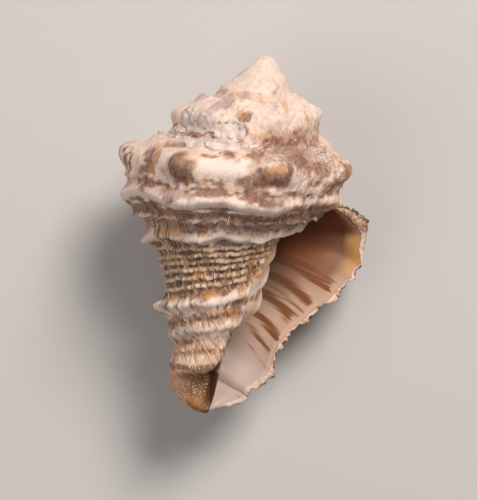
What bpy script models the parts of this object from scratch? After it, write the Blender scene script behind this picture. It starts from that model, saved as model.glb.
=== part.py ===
"""A vase shell lying on its back, with its mouth turned up: one grown piece.

The shell is one closed surface.  Its outside is a section that is carried round the long axis and
grows by a fixed share each whorl, so it winds down from the apex to the lip.  Each whorl is sewn to
the one above along the suture.  From the lip and the columella the surface turns inwards and lines
the mouth, which winds back behind the lip and closes.

Lengths are millimetres until the last step.  In the shell's own frame z runs down the axis from the
apex, and azimuth 90 faces up out of the mouth.  Azimuths are degrees, count on through every whorl
and end at the lip, so the same side of the shell one whorl earlier has an azimuth 360 less.
"""
import bpy
import numpy as np

MM = 0.001

# How the whorls grow
GROWTH = 1.58
LIP = -28.0
WHORLS = 3.6

# How the shell lies: turned about its long axis, and its apex lifted
REST_SPIN = -3.8
REST_LIFT = 5.6

# The section at azimuth -180, as radius and distance from the apex: ramp, shoulder, waist, foot
SECTION = np.array([
    (14.2, 19.6), (18.4, 20.4), (21.8, 22.2), (23.0, 24.0), (22.6, 29.6), (22.0, 33.0),
    (19.4, 36.0), (17.2, 38.6), (15.6, 41.0), (13.6, 44.4), (12.2, 47.6), (11.4, 51.6),
    (10.4, 56.0), (9.2, 59.6), (8.2, 62.4), (8.6, 66.0), (8.2, 68.4), (6.6, 70.8),
    (3.6, 73.2), (0.0, 74.6)])

# The worn top: its radius against the distance from the apex, and how far whorls there have sunk
CONE = [(0, 0), (0.4, 1.0), (2.3, 2.9), (5.4, 5.6), (7.2, 7.0), (8.8, 8.2), (12, 11.2), (20, 18)]
SPIRE = [(0, 0), (5, 3.9), (9.6, 7.6), (12.4, 10.4), (15.2, 14.8), (19.6, 19.6), (30, 30), (100, 100)]

# Azimuths between which the whorls pass into the worn top, and the depth where the spire's ends
WORN = (-700.0, -1000.0)
SPIRE_END = 19.6

# How far the lip flares, against the distance from the apex, and over which azimuths, which start
# earlier at the canal.  Near the lip the ramp between suture and shoulder drops.
FLARE = [(24, 0), (33, 1.2), (40, 1.2), (46, 2.8), (50, 2.7), (54, 1.7), (58, 0.2),
         (66, 0), (74.6, 0)]
FLARE_START = -85.0
CANAL_FLARE = 35.0
CANAL = (54.0, 62.0)
RAMP = (9.0, 22.0)
RAMP_DROP = 3.2
RAMP_DROP_OVER = (-56.0, -30.0)

# How far the notch at the canal's end is cut back, and over which places and azimuths; the reach of
# a tooth on the lip, its half width, and the azimuth where the teeth start
NOTCH = 47.0
NOTCH_PLACES = (63.0, 68.6)
NOTCH_START = LIP - 80.0
TOOTH = 1.3
TOOTH_WIDTH = 1.0
TEETH_START = LIP - 14.0

# The columella's pillar: its reach to the side, to the front and to the back
PILLAR_SIDE = [(30, 12.5), (33, 10.2), (36, 8.4), (40, 7.7), (46, 6.9), (51, 6.3), (54, 4.5),
               (59.4, 2.0), (64.4, 1.0), (70, 0.7), (74.6, 0.15)]
PILLAR_FRONT = [(30, 14.5), (33, 13), (36, 11.8), (40, 10.6), (46, 9.6), (50, 8.8), (55, 7.0),
                (58, 5.4), (62, 4.0), (66, 3.3), (70, 2.5), (73, 1.2), (74.6, 0.15)]
PILLAR_BACK = [(30, 12.5), (36, 8.6), (40, 7.8), (46, 7.0), (52, 6.4), (60, 6.6), (66, 6.6),
               (70, 5.6), (73, 2.6), (74.6, 0.15)]

# The pillar is a rounded box: the power of its rounding, the azimuths and depths over which the
# whorl runs into it, and how wide it stays far inside
PILLAR_CORNER = 2.6
PILLAR_SPAN = (30.0, 74.6)
PILLAR_AZIMUTHS = (-262.0, -304.0)
PILLAR_DEPTHS = (30.0, 36.0)
PILLAR_TURN = -360.0
PILLAR_INSIDE = (-470.0, -530.0)
PILLAR_INSIDE_SHARE = 0.62

# The hollow at the foot: how sharply the ribs end above it, the depths where it runs out, the
# azimuths where it starts and stops, and its floor's radius, which widens towards the foot
HOLLOW_LEDGE = 1.4
HOLLOW_END = (70.5, 74.0)
HOLLOW_SIDE = (-200.0, -262.0)
HOLLOW_STOP = (-274.0, -287.0)
HOLLOW_FLOOR = 1.9
HOLLOW_WIDEN = 1.2
HOLLOW_WIDEN_OVER = (68.0, 73.0)

# The edge of the smooth callus beside the mouth: azimuth against the distance from the apex
CALLUS_EDGE = [(20, -352), (28.6, -345), (35, -336), (38, -318), (41, -305), (47, -298),
               (52.6, -302), (58.7, -292), (80, -286)]

# Where the ribs end above the hollow at the foot: distance from the apex against the azimuth
RIB_END = [(-330, 56.5), (-294, 58.2), (-275, 62.4), (-258, 64.2), (-234, 64.6), (-210, 66.5),
           (-180, 70)]

# How far down the section the mouth reaches, against the angle behind the lip
MOUTH_FOOT = [(0, 69.05), (20, 68.2), (45, 66.5), (62, 63), (80, 57), (104, 51), (140, 47), (240, 44)]
MOUTH_DEPTH = 225.0

# The outer wall's thickness: at the lip's edge, what it gains in the first few degrees and further
# in, what it loses at the canal and gains low down deep inside, and its greatest share of the radius
WALL_EDGE = 0.25
WALL_GAIN = (0.45, 0.9)
WALL_GAIN_OVER = (4.0, 30.0)
WALL_CANAL_LOSS = 0.4
WALL_CANAL = (62.0, 68.0)
WALL_DEEP = 2.2
WALL_DEEP_PLACES = (36.0, 52.0)
WALL_DEEP_OVER = (50.0, 110.0)
WALL_SHARE = 0.3

# The passage: the least gap between its two sides, how fast the gap opens from either end, how far
# under the suture the columella's side starts, and over what run the two sides meet
PASSAGE_GAP = 1.2
PASSAGE_OPENS = (0.8, 1.8)
COLUMELLA_START = 1.6
WALL_MEETS = 6.0
FOOT_MEETS = 10.0
WALL_LEVEL = 20.0
CLOSING = 45.0
CLOSED_AFTER = 2.0

# Shoulder knobs: azimuth and height, from the lip back to the worn top
KNOBS = [(-30, 1.0), (-68, 1.7), (-114, 2.9), (-180, 2.7), (-237, 2.2), (-286, 2.6), (-345, 2.3),
         (-394, 1.8), (-442, 1.8), (-491, 1.8), (-540, 3.0), (-592, 1.4), (-640, 1.6), (-690, 1.0),
         (-722, 1.5), (-765, 1.0), (-815, 1.0), (-865, 1.0), (-905, 1.2), (-960, 0.6)]

# The shoulder's place and half width, and how wide knobs and the folds below them are, in degrees
SHOULDER = 10.6
SHOULDER_WIDTH = 2.3
KNOB_DEGREES = 11.0
FOLD_DEGREES = 17.0

# Folds and second knobs below the shoulder: share of the knob's height, place and half width
FOLD_BELOW = (0.30, 15.0, 8.0)
KNOB_BELOW = (0.40, 18.6, 2.2)

# Ribs whose knobs are high on the hidden side: share, place, half width, and degrees about -180
RIB_KNOBS = [(0.5, 28.2, 1.5, 40.0), (1.0, 42.8, 1.5, 30.0)]

# Spiral ribs: place along the section, height, half width, and how far a knob one millimetre high
# pushes the rib down.  The upper side of a rib is gentler and the lower side steeper.
RIBS = [(14.2, 0.35, 0.5, 0.1), (17.2, 1.05, 1.1, 0.5), (22.4, 0.4, 0.6, 0.1), (27.2, 1.35, 1.1, 0.5),
        (31.2, 0.4, 0.5, 0), (33.0, 0.5, 0.55, 0), (34.6, 0.45, 0.5, 0), (36.4, 0.5, 0.55, 0),
        (38.4, 0.5, 0.55, 0), (40.3, 0.35, 0.5, 0), (43.8, 1.1, 1.3, 0), (46.6, 0.3, 0.5, 0),
        (49.2, 0.75, 0.9, 0), (52.8, 0.35, 0.5, 0)]
RIB_ABOVE, RIB_BELOW = 1.3, 0.72

# Places along the section of the columella's three folds, and of the teeth on the lip
FOLDS = (38.2, 43.8, 48.6)
TEETH = (18.6, 23.0, 28.2, 33.2, 37.2, 42.8, 46.6, 50.4, 54.0, 58.0)
COLUMELLA_FOLD = (0.8, 1.3)
COLUMELLA_FOLDS_FROM = (-318.0, -345.0)

# Places where the relief fades out at the foot, azimuths where it fades out at the top, the run
# over which the callus covers it, and places between which the ramp above the callus keeps it
RELIEF_FOOT = (64.0, 67.5)
RELIEF_TOP = (-800.0, -1000.0)
CALLUS_FADE = 4.0
CALLUS_PLACES = (22.0, 26.0)

# The grid: columns to a whorl, rows from the suture to where the next whorl sits, as shares of that
# stretch, rows from there to the foot, as places along the section, and rings of the mouth's lining
COLUMNS = 50
TOP_ROWS = np.array([0, 0.08, 0.17, 0.26, 0.35, 0.4335, 0.52, 0.605, 0.7035, 0.77, 0.85, 0.93, 1])
LOW_ROWS = np.array([24.45, 25.9, 27.4, 29.2, 31.4, 33.8, 36.4, 39, 41.2, 42.6, 44.0, 45.8, 47.6,
                     49.2, 51, 53.2, 55.2, 57, 58.6, 60.2, 61.8, 63.4, 65, 66.4, 67.6, 68.4, 69.05])
RINGS = np.array([0, 3, 9, 18, 28, 38, 48, 58, 68, 78, 88, 98, 110, 122, 134, 148, 162, 176, 188,
                  200, 210, 218, 225])
CAP_RINGS = 4
CAP_FAN = 2.0

# The colour of the chalky, brown-stained surface
SHELL_COLOUR = (0.62, 0.50, 0.40, 1.0)
SHELL_ROUGHNESS = 0.6


def curve(points, x):
    """A smooth curve through points: cubic pieces, each slope the mean of those on its two sides."""
    knots, values = np.array(points, float).T
    slope = np.gradient(values, knots)
    i = np.clip(np.searchsorted(knots, x) - 1, 0, len(knots) - 2)
    h = knots[i + 1] - knots[i]
    t = np.clip((x - knots[i]) / h, 0, 1)
    return ((2*t**3 - 3*t**2 + 1)*values[i] + (t**3 - 2*t**2 + t)*h*slope[i]
            + (-2*t**3 + 3*t**2)*values[i + 1] + (t**3 - t**2)*h*slope[i + 1])


def smooth(start, end, x):
    """0 before start, 1 after end, and an S-shaped rise between them."""
    t = np.clip((x - start) / (end - start), 0, 1)
    return t*t*(3 - 2*t)


def bump(x, centre, width):
    """A bell, 1 at its centre."""
    return np.exp(-((x - centre) / width)**2)


# Distance along the section to each of its points, and radius and depth against that distance
ARC = np.concatenate([[0], np.cumsum(np.hypot(*np.diff(SECTION, axis=0).T))])
FOOT = ARC[-1]
RADIUS = np.stack([ARC, SECTION[:, 0]], 1)
DEPTH = np.stack([ARC, SECTION[:, 1]], 1)
HOLD = (40.0, 66.0)

# Place along the section where the next whorl sits, how much lower it sits on the last whorl and
# from which azimuth, and how far below the suture that whorl's wall follows it
COVER = 17.25
COVER_DROP = 7.2
COVER_DROP_FROM = -500.0
SUTURE_REACH = 9.5


def cover(azimuth):
    """Place along the section, at this azimuth, where the next whorl's suture lies."""
    return COVER + COVER_DROP*smooth(COVER_DROP_FROM, LIP - 360.0, azimuth)


def growth(azimuth, place):
    """Size against azimuth -180.  The foot stays where it is, because every whorl ends there."""
    return GROWTH**((azimuth + 180.0)/360.0*(1.0 - smooth(*HOLD, place)))


def knobs(azimuth, width):
    """Height of the tallest knob at this azimuth."""
    return np.max([height*bump(azimuth, at, width) for at, height in KNOBS], axis=0)


def rib(place, at, width):
    """A rib's profile: a bell that is wider above its crest than below it."""
    return bump(place, at, width*np.where(place < at, RIB_ABOVE, RIB_BELOW))


def growth_line(azimuth, place):
    """Azimuth along a growth line: toothed where ribs reach the lip, and cut back at the notch."""
    notch = NOTCH*smooth(*NOTCH_PLACES, place)*smooth(NOTCH_START, LIP, azimuth)
    teeth = sum(TOOTH*bump(place, at, TOOTH_WIDTH) for at in TEETH)
    return azimuth - notch + teeth*smooth(TEETH_START, LIP, azimuth)


def smooth_section(azimuth, place):
    """Radius and distance from the apex, without ribs and knobs."""
    size = growth(azimuth, place)
    r = curve(RADIUS, place)*size
    d = curve(DEPTH, place)*size
    d = np.where(d < SPIRE_END, curve(SPIRE, np.minimum(d, SPIRE_END)), d)

    # The top is worn to a plain cone, and the ramp drops just before the lip
    r = r + smooth(*WORN, azimuth)*(curve(CONE, np.minimum(d, CONE[-1][0])) - r)
    d = d + RAMP_DROP*smooth(*RAMP_DROP_OVER, azimuth)*(1 - smooth(*RAMP, place))

    # The lip flares, over a longer stretch at the canal
    flare = curve(FLARE, np.clip(d, FLARE[0][0], FLARE[-1][0]))
    r = r + flare*smooth(FLARE_START - CANAL_FLARE*smooth(*CANAL, d), LIP, azimuth)

    # The columella is a rounded box in cross-section, which the front of the whorl runs into
    x, y = np.abs(np.cos(np.radians(azimuth))), np.abs(np.sin(np.radians(azimuth)))
    low = np.clip(d, *PILLAR_SPAN)
    deep = np.where(azimuth < PILLAR_TURN, curve(PILLAR_BACK, low), curve(PILLAR_FRONT, low))
    sides = (x/curve(PILLAR_SIDE, low))**PILLAR_CORNER + (y/deep)**PILLAR_CORNER
    pillar = sides**(-1/PILLAR_CORNER)
    far = smooth(*PILLAR_INSIDE, azimuth)
    pillar = pillar*(1 - far) + np.maximum(pillar, PILLAR_INSIDE_SHARE*deep)*far
    r = r + (pillar - r)*smooth(*PILLAR_AZIMUTHS, azimuth)*smooth(*PILLAR_DEPTHS, d)

    # The hollow at the foot, between the columella's edge and the rounded rim
    edge = curve(RIB_END, np.clip(azimuth, RIB_END[0][0], RIB_END[-1][0]))
    down = smooth(edge, edge + HOLLOW_LEDGE, d)*(1 - smooth(*HOLLOW_END, d))
    across = smooth(*HOLLOW_SIDE, azimuth)*(1 - smooth(*HOLLOW_STOP, azimuth))
    floor = HOLLOW_FLOOR + HOLLOW_WIDEN*smooth(*HOLLOW_WIDEN_OVER, d)
    r = r + (np.minimum(floor, r) - r)*down*across
    return r, d


def outward(azimuth, place):
    """The section's outward direction, from the run between two close places on it."""
    step = 0.05
    r1, d1 = smooth_section(azimuth, np.clip(place + step, 0, FOOT))
    r2, d2 = smooth_section(azimuth, np.clip(place - step, 0, FOOT))
    run = np.hypot(r1 - r2, d1 - d2) + 1e-9
    return (d1 - d2)/run, (r2 - r1)/run


def relief(azimuth, place, depth):
    """Height of ribs, knobs, the folds that run down from them, and the columella's folds."""
    edge = curve(CALLUS_EDGE, np.clip(depth, CALLUS_EDGE[0][0], CALLUS_EDGE[-1][0]))
    ribbed = 1 - smooth(CALLUS_FADE, -CALLUS_FADE, azimuth - edge)*smooth(*CALLUS_PLACES, place)
    knob = knobs(azimuth, KNOB_DEGREES)
    fold = knobs(azimuth, FOLD_DEGREES)
    height = knob*bump(place, SHOULDER, SHOULDER_WIDTH)
    for raised, (share, at, width) in ((fold, FOLD_BELOW), (knob, KNOB_BELOW)):
        height = height + ribbed*share*raised*bump(place, at, width)
    for at, high, width, dip in RIBS:
        height = height + ribbed*high*rib(place, at + dip*fold, width)
    for share, at, width, degrees in RIB_KNOBS:
        height = height + share*fold*bump(place, at, width)*bump(azimuth, -180.0, degrees)
    high, width = COLUMELLA_FOLD
    for at in FOLDS:
        height = height + high*smooth(*COLUMELLA_FOLDS_FROM, azimuth)*bump(place, at, width)
    fade = (1 - smooth(*RELIEF_FOOT, place))*(1 - smooth(*RELIEF_TOP, azimuth))
    return height*fade*growth(azimuth, place)


def outside(azimuth, place):
    """Azimuth, radius and distance from the apex of the outer surface, with its relief."""
    azimuth, place = np.broadcast_arrays(np.asarray(azimuth, float), np.asarray(place, float))
    azimuth = growth_line(azimuth, place)
    r, d = smooth_section(azimuth, place)
    out_r, out_d = outward(azimuth, place)
    height = relief(azimuth, place, d)
    return azimuth, r + out_r*height, d + out_d*height


def position(azimuth, r, d):
    """Point in the shell's frame."""
    angle = np.radians(azimuth)
    return np.stack([r*np.cos(angle), r*np.sin(angle), d], -1)


def whorl_grid():
    """The outside as a grid: a column for each azimuth, a row for each place along the section.

    The top row of each column is moved on to the cover row one whorl earlier, and the rows under it
    follow, less and less.
    """
    columns = int(round(WHORLS*COLUMNS)) + 1
    azimuth = LIP + (np.arange(columns) - (columns - 1))*360.0/COLUMNS
    start = cover(azimuth)[:, None]
    low = (LOW_ROWS - LOW_ROWS[0])/(LOW_ROWS[-1] - LOW_ROWS[0])
    place = np.concatenate([TOP_ROWS*start, start + low[1:]*(FOOT - start)], 1)
    bent, r, d = outside(azimuth[:, None], place)
    last = len(TOP_ROWS) - 1
    weight = 1 - smooth(0, SUTURE_REACH, place[:, :last + 1])
    for i in range(COLUMNS, columns):
        r[i, :last + 1] += (r[i - COLUMNS, last] - r[i, 0])*weight[i]
        d[i, :last + 1] += (d[i - COLUMNS, last] - d[i, 0])*weight[i]
    return azimuth, place, bent, r, d


def mouth_rings(azimuth, place, r, d):
    """The mouth's lining, as closed rings that recede behind the lip.

    Each ring runs down the inner face of the outer wall and back up the columella.  The wall is thin
    at the lip and thickens inwards, and the last rings shrink to close the mouth.
    """
    last = len(TOP_ROWS) - 1
    plain_r, plain_d = smooth_section(azimuth, 0*azimuth)
    lip_share = place[-1]/FOOT
    inner_share = place[-1 - COLUMNS, last:]
    inner_share = (inner_share - inner_share[0])/(FOOT - inner_share[0])
    rings = []
    for behind in RINGS:
        here = LIP - behind
        foot = curve(MOUTH_FOOT, behind)
        edge_gain, inner_gain = [smooth(0, run, behind) for run in WALL_GAIN_OVER]

        # Inner face of the outer wall, which follows the outside and its suture
        wall = foot*lip_share
        wall_az = growth_line(np.full(len(wall), here), wall)
        wall_r, wall_d = smooth_section(wall_az, wall)
        out_r, out_d = outward(wall_az, wall)
        suture = 1 - smooth(0, SUTURE_REACH, wall)
        thick = WALL_EDGE + WALL_GAIN[0]*edge_gain + WALL_GAIN[1]*inner_gain
        thick = thick - WALL_CANAL_LOSS*smooth(*WALL_CANAL, wall)*inner_gain
        thick = thick + WALL_DEEP*smooth(*WALL_DEEP_PLACES, wall)*smooth(*WALL_DEEP_OVER, behind)
        thick = np.minimum(thick, WALL_SHARE*wall_r)
        wall_r = wall_r + np.interp(here, azimuth, r[:, 0] - plain_r)*suture - out_r*thick
        wall_d = wall_d + np.interp(here, azimuth, d[:, 0] - plain_d)*suture - out_d*thick
        side = wall > WALL_LEVEL
        wall_d[side] = np.maximum.accumulate(wall_d[side])

        # The columella and the whorl before, from just under the suture down
        start = cover(here - 360.0) + COLUMELLA_START*inner_gain
        inner = start + (foot - start)*inner_share
        inner_az, inner_r, inner_d = outside(np.full(len(inner), here - 360.0), inner)
        inner_az = inner_az + 360.0

        # The wall's top meets the columella's, and the columella's foot is drawn to the wall's
        near = 1 - smooth(0, WALL_MEETS, wall)
        wall_r = wall_r + (inner_r[0] - wall_r[0])*near
        wall_d = wall_d + (inner_d[0] - wall_d[0])*near
        far = smooth(-FOOT_MEETS, 0, inner - inner[-1])
        inner_r = inner_r + (wall_r[-1] - inner_r[-1])*far
        inner_d = inner_d + (wall_d[-1] - inner_d[-1])*far
        inner_az = inner_az + (wall_az[-1] - inner_az[-1])*far

        # Keep the passage open between the two sides
        deepest = np.maximum.accumulate(wall_d)
        opening = [rate*run for rate, run in zip(PASSAGE_OPENS, (inner - inner[0], inner[-1] - inner))]
        gap = np.minimum(PASSAGE_GAP, np.minimum(*opening))
        inner_r = np.minimum(inner_r, np.interp(inner_d, deepest, wall_r) - gap*inner_gain)
        ring = [np.concatenate([outer_side, inner_side[::-1][1:-1]]) for outer_side, inner_side
                in ((wall_az, inner_az), (wall_r, inner_r), (wall_d, inner_d))]
        rings.append(ring)
    bent, ring_r, ring_d = np.array(rings).transpose(1, 0, 2)
    shrink = np.sqrt(1 - smooth(MOUTH_DEPTH - CLOSING, MOUTH_DEPTH + CLOSED_AFTER, RINGS)**2)[:, None]
    middle_r, middle_d = ring_r.mean(1, keepdims=True), ring_d.mean(1, keepdims=True)
    return position(bent, middle_r + (ring_r - middle_r)*shrink, middle_d + (ring_d - middle_d)*shrink)


def between(loop, following):
    """Quads between two rings of equally many vertices."""
    return np.stack([loop, following, np.roll(following, -1), np.roll(loop, -1)], -1)


def shell_surface():
    """Vertices and faces of the whole closed surface."""
    azimuth, place, bent, r, d = whorl_grid()
    grid = position(bent, r, d)
    columns = len(azimuth)
    turn = COLUMNS
    last, foot_row = len(TOP_ROWS) - 1, grid.shape[1] - 1
    first_open = columns - 1 - turn

    # Number the grid's vertices: a top row is the cover row one whorl back, and all feet are one
    index = np.full(grid.shape[:2], -1)
    points, count = [], 0
    for i in range(columns):
        if i >= turn:
            index[i, 0] = index[i - turn, last]
        rows = np.arange(1 if i >= turn else 0, foot_row if i >= first_open else last + 1)
        index[i, rows] = count + np.arange(len(rows))
        points.append(grid[i, rows])
        count += len(rows)
    index[first_open:, foot_row] = count
    points.append(np.array([[0, 0, SECTION[-1, 1]]]))
    count += 1
    faces = []
    for block in (index[:, :last + 1], index[first_open:, last:]):
        corners = [block[:-1, :-1], block[1:, :-1], block[1:, 1:], block[:-1, 1:]]
        faces.append(np.stack(corners, -1).reshape(-1, 4))

    # Close the top with rings along the worn cone; those that start at the first column's side fan out
    loop = np.concatenate([index[0, last:0:-1], index[:turn, 0]])
    fan = CAP_FAN*np.arange(-last, 0)
    round_top = np.arange(turn)*(360.0 - CAP_FAN*last)/turn
    ring_azimuth = azimuth[0] + np.concatenate([fan, round_top])
    for k in range(1, CAP_RINGS):
        depth = np.full(len(loop), d[0, 0]*(1 - k/CAP_RINGS))
        following = count + np.arange(len(loop))
        faces.append(between(loop, following))
        points.append(position(ring_azimuth, curve(CONE, depth), depth))
        count += len(loop)
        loop = following
    faces.append(between(loop, np.full(len(loop), count)))
    points.append(np.zeros((1, 3)))
    count += 1

    # Line the mouth from the lip's edge inwards
    loop = np.concatenate([index[-1, :foot_row + 1], index[first_open, foot_row - 1:last:-1]])
    rings = mouth_rings(azimuth, place, r, d)
    for ring in rings[1:]:
        following = count + np.arange(len(loop))
        faces.append(between(loop, following))
        points.append(ring)
        count += len(loop)
        loop = following
    faces.append(between(loop, np.full(len(loop), count)))
    points.append(rings[-1].mean(0)[None])
    return np.concatenate(points), np.concatenate(faces)


def lay_down(points):
    """Lay the shell on its back on z = 0, apex towards +Y, its box centred on the origin."""
    x, y, z = points[:, 0], -points[:, 2], points[:, 1]
    spin, lift = np.radians(REST_SPIN), np.radians(REST_LIFT)
    x, z = x*np.cos(spin) + z*np.sin(spin), z*np.cos(spin) - x*np.sin(spin)
    y, z = y*np.cos(lift) - z*np.sin(lift), z*np.cos(lift) + y*np.sin(lift)
    laid = np.stack([x, y, z], -1)
    low, high = laid.min(0), laid.max(0)
    return laid - [(low[0] + high[0])/2, (low[1] + high[1])/2, low[2]]


def triangles(faces):
    """Split quads along a diagonal and drop the halves that have no area."""
    halves = np.concatenate([faces[:, [0, 1, 2]], faces[:, [0, 2, 3]]])
    a, b, c = halves.T
    return halves[(a != b) & (b != c) & (a != c)]


def shell_material():
    """Chalky shell, matt."""
    material = bpy.data.materials.new("shell")
    material.use_nodes = True
    surface = material.node_tree.nodes["Principled BSDF"]
    surface.inputs["Base Color"].default_value = SHELL_COLOUR
    surface.inputs["Roughness"].default_value = SHELL_ROUGHNESS
    surface.inputs["Metallic"].default_value = 0.0
    return material


for old in list(bpy.data.objects):
    bpy.data.objects.remove(old, do_unlink=True)

surface_points, surface_faces = shell_surface()
mesh = bpy.data.meshes.new("shell")
mesh.from_pydata((lay_down(surface_points)*MM).tolist(), [], triangles(surface_faces).tolist())
mesh.validate()
mesh.shade_smooth()
mesh.materials.append(shell_material())
shell = bpy.data.objects.new("shell", mesh)
bpy.context.scene.collection.objects.link(shell)
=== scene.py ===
"""A vase shell lying on its back with its mouth turned up, on a pale floor."""

import bpy
import numpy as np
from mathutils import Matrix, Vector


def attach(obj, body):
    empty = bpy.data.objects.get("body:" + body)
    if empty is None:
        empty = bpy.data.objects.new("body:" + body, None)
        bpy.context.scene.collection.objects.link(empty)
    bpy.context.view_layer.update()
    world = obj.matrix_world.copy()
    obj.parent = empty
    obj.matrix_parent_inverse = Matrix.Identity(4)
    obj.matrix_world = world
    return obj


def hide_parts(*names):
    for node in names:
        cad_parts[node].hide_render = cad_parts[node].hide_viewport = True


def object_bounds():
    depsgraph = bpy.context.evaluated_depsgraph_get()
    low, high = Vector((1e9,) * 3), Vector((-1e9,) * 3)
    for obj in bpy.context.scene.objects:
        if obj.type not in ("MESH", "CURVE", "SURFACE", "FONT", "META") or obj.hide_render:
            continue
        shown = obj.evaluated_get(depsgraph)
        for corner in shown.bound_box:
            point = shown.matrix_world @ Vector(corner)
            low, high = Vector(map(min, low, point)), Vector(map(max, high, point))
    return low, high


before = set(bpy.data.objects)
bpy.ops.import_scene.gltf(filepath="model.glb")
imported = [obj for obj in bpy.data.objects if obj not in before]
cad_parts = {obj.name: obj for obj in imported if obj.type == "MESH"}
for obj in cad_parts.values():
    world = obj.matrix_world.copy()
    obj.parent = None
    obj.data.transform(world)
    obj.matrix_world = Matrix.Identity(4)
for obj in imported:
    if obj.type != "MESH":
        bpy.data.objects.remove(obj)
cad_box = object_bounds()

# The shell's winding.  A vase shell is one piece of lime that the animal laid down round a long axis:
# every whorl repeats the one before, larger by a fixed share, and is sewn to it along the suture.
# Millimetres, in the shell's own frame: z down the axis from the apex, azimuth 90 out of the mouth.
GROWTH = 1.58
LIP = -28.0
SECTION = np.array([
    (14.2, 19.6), (18.4, 20.4), (21.8, 22.2), (23.0, 24.0), (22.6, 29.6), (22.0, 33.0),
    (19.4, 36.0), (17.2, 38.6), (15.6, 41.0), (13.6, 44.4), (12.2, 47.6), (11.4, 51.6),
    (10.4, 56.0), (9.2, 59.6), (8.2, 62.4), (8.6, 66.0), (8.2, 68.4), (6.6, 70.8),
    (3.6, 73.2), (0.0, 74.6)])
ARC = np.concatenate([[0], np.cumsum(np.hypot(*np.diff(SECTION, axis=0).T))])
FOOT = ARC[-1]
HOLD = (40.0, 66.0)
COVER = 17.25
COVER_DROP = 7.2
COVER_DROP_FROM = -500.0
SUTURE_REACH = 9.5


def curve(points, x):
    """A smooth curve through points: cubic pieces, each slope the mean of those on its two sides."""
    knots, values = np.array(points, float).T
    slope = np.gradient(values, knots)
    i = np.clip(np.searchsorted(knots, x) - 1, 0, len(knots) - 2)
    h = knots[i + 1] - knots[i]
    t = np.clip((x - knots[i]) / h, 0, 1)
    return ((2*t**3 - 3*t**2 + 1)*values[i] + (t**3 - 2*t**2 + t)*h*slope[i]
            + (-2*t**3 + 3*t**2)*values[i + 1] + (t**3 - t**2)*h*slope[i + 1])


def smooth(start, end, x):
    """0 before start, 1 after end, and an S-shaped rise between them."""
    t = np.clip((x - start) / (end - start), 0, 1)
    return t*t*(3 - 2*t)


def bump(x, centre, width):
    """A bell, 1 at its centre."""
    return np.exp(-((x - centre) / width)**2)


def cover(azimuth):
    """Place along the section where the next whorl's suture lies: fixed, then lower on the last whorl."""
    return COVER + COVER_DROP*smooth(COVER_DROP_FROM, LIP - 360.0, azimuth)


def growth(azimuth, place):
    """Size against azimuth -180: the growth to the power of the turns, fading out towards the foot."""
    return GROWTH**((azimuth + 180.0)/360.0*(1.0 - smooth(*HOLD, place)))


# The shape of the whorls.  The top is worn to a plain cone, the lip flares, and the columella is the
# pillar that the whorls wind round: a rounded box in cross-section, with a worn hollow at its foot.
WORN = (-700.0, -1000.0)
CONE = [(0, 0), (0.4, 1.0), (2.3, 2.9), (5.4, 5.6), (7.2, 7.0), (8.8, 8.2), (12, 11.2), (20, 18)]
SPIRE = [(0, 0), (5, 3.9), (9.6, 7.6), (12.4, 10.4), (15.2, 14.8), (19.6, 19.6), (30, 30), (100, 100)]
SPIRE_END = 19.6
FLARE = [(24, 0), (28, -1.8), (30.5, -1.3), (32, 0.0), (33.5, 1.1), (37, 2.3), (41, 3.8),
         (44.5, 4.8), (47.5, 4.9), (51, 3.5), (54.5, 1.6), (58, 0.2), (66, 0), (74.6, 0)]
FLARE_START = -85.0
CANAL_FLARE = 35.0
CANAL = (54.0, 62.0)
RAMP = (9.0, 22.0)
RAMP_DROP = 3.2
RAMP_DROP_OVER = (-56.0, -30.0)
PILLAR_SIDE = [(30, 12.5), (33, 10.2), (36, 8.4), (40, 7.7), (46, 6.9), (51, 6.3), (54, 4.5),
               (59.4, 2.0), (64.4, 1.0), (70, 0.7), (74.6, 0.15)]
PILLAR_FRONT = [(30, 14.5), (33, 13), (36, 11.8), (40, 10.6), (46, 9.6), (50, 8.8), (55, 7.0),
                (58, 5.4), (62, 4.0), (66, 3.3), (70, 2.5), (73, 1.2), (74.6, 0.15)]
PILLAR_BACK = [(30, 12.5), (36, 8.6), (40, 7.8), (46, 7.0), (52, 6.4), (60, 6.6), (66, 6.6),
               (70, 5.6), (73, 2.6), (74.6, 0.15)]
PILLAR_CORNER = 2.6
PILLAR_SPAN = (30.0, 74.6)
PILLAR_AZIMUTHS = (-262.0, -304.0)
PILLAR_DEPTHS = (30.0, 36.0)
PILLAR_TURN = -360.0
PILLAR_INSIDE = (-470.0, -530.0)
PILLAR_INSIDE_SHARE = 0.62
RIB_END = [(-330, 56.5), (-294, 58.2), (-275, 62.4), (-258, 64.2), (-234, 64.6), (-210, 66.5), (-180, 70)]
HOLLOW_LEDGE = 1.4
HOLLOW_END = (70.5, 74.0)
HOLLOW_SIDE = (-200.0, -262.0)
HOLLOW_STOP = (-274.0, -287.0)
HOLLOW_FLOOR = 1.9
HOLLOW_WIDEN = 1.2
HOLLOW_WIDEN_OVER = (68.0, 73.0)
CALLUS_EDGE = [(20, -352), (28.6, -345), (35, -336), (38, -318), (41, -305), (47, -298),
               (52.6, -302), (58.7, -292), (80, -286)]
CALLUS_FADE = 4.0


def within(x, points):
    """x, held between the first and the last of a curve's points."""
    return np.clip(x, points[0][0], points[-1][0])


def hollow_mask(azimuth, depth):
    """1 in the hollow at the foot: the part below the ribs' end, times the part beside the columella."""
    edge = curve(RIB_END, within(azimuth, RIB_END))
    down = smooth(edge, edge + HOLLOW_LEDGE, depth)*(1 - smooth(*HOLLOW_END, depth))
    return down*smooth(*HOLLOW_SIDE, azimuth)*(1 - smooth(*HOLLOW_STOP, azimuth))


def callus_mask(azimuth, depth, fade=CALLUS_FADE):
    """1 on the smooth callus beside the mouth: azimuths below its edge at this depth."""
    return smooth(fade, -fade, azimuth - curve(CALLUS_EDGE, within(depth, CALLUS_EDGE)))


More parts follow.
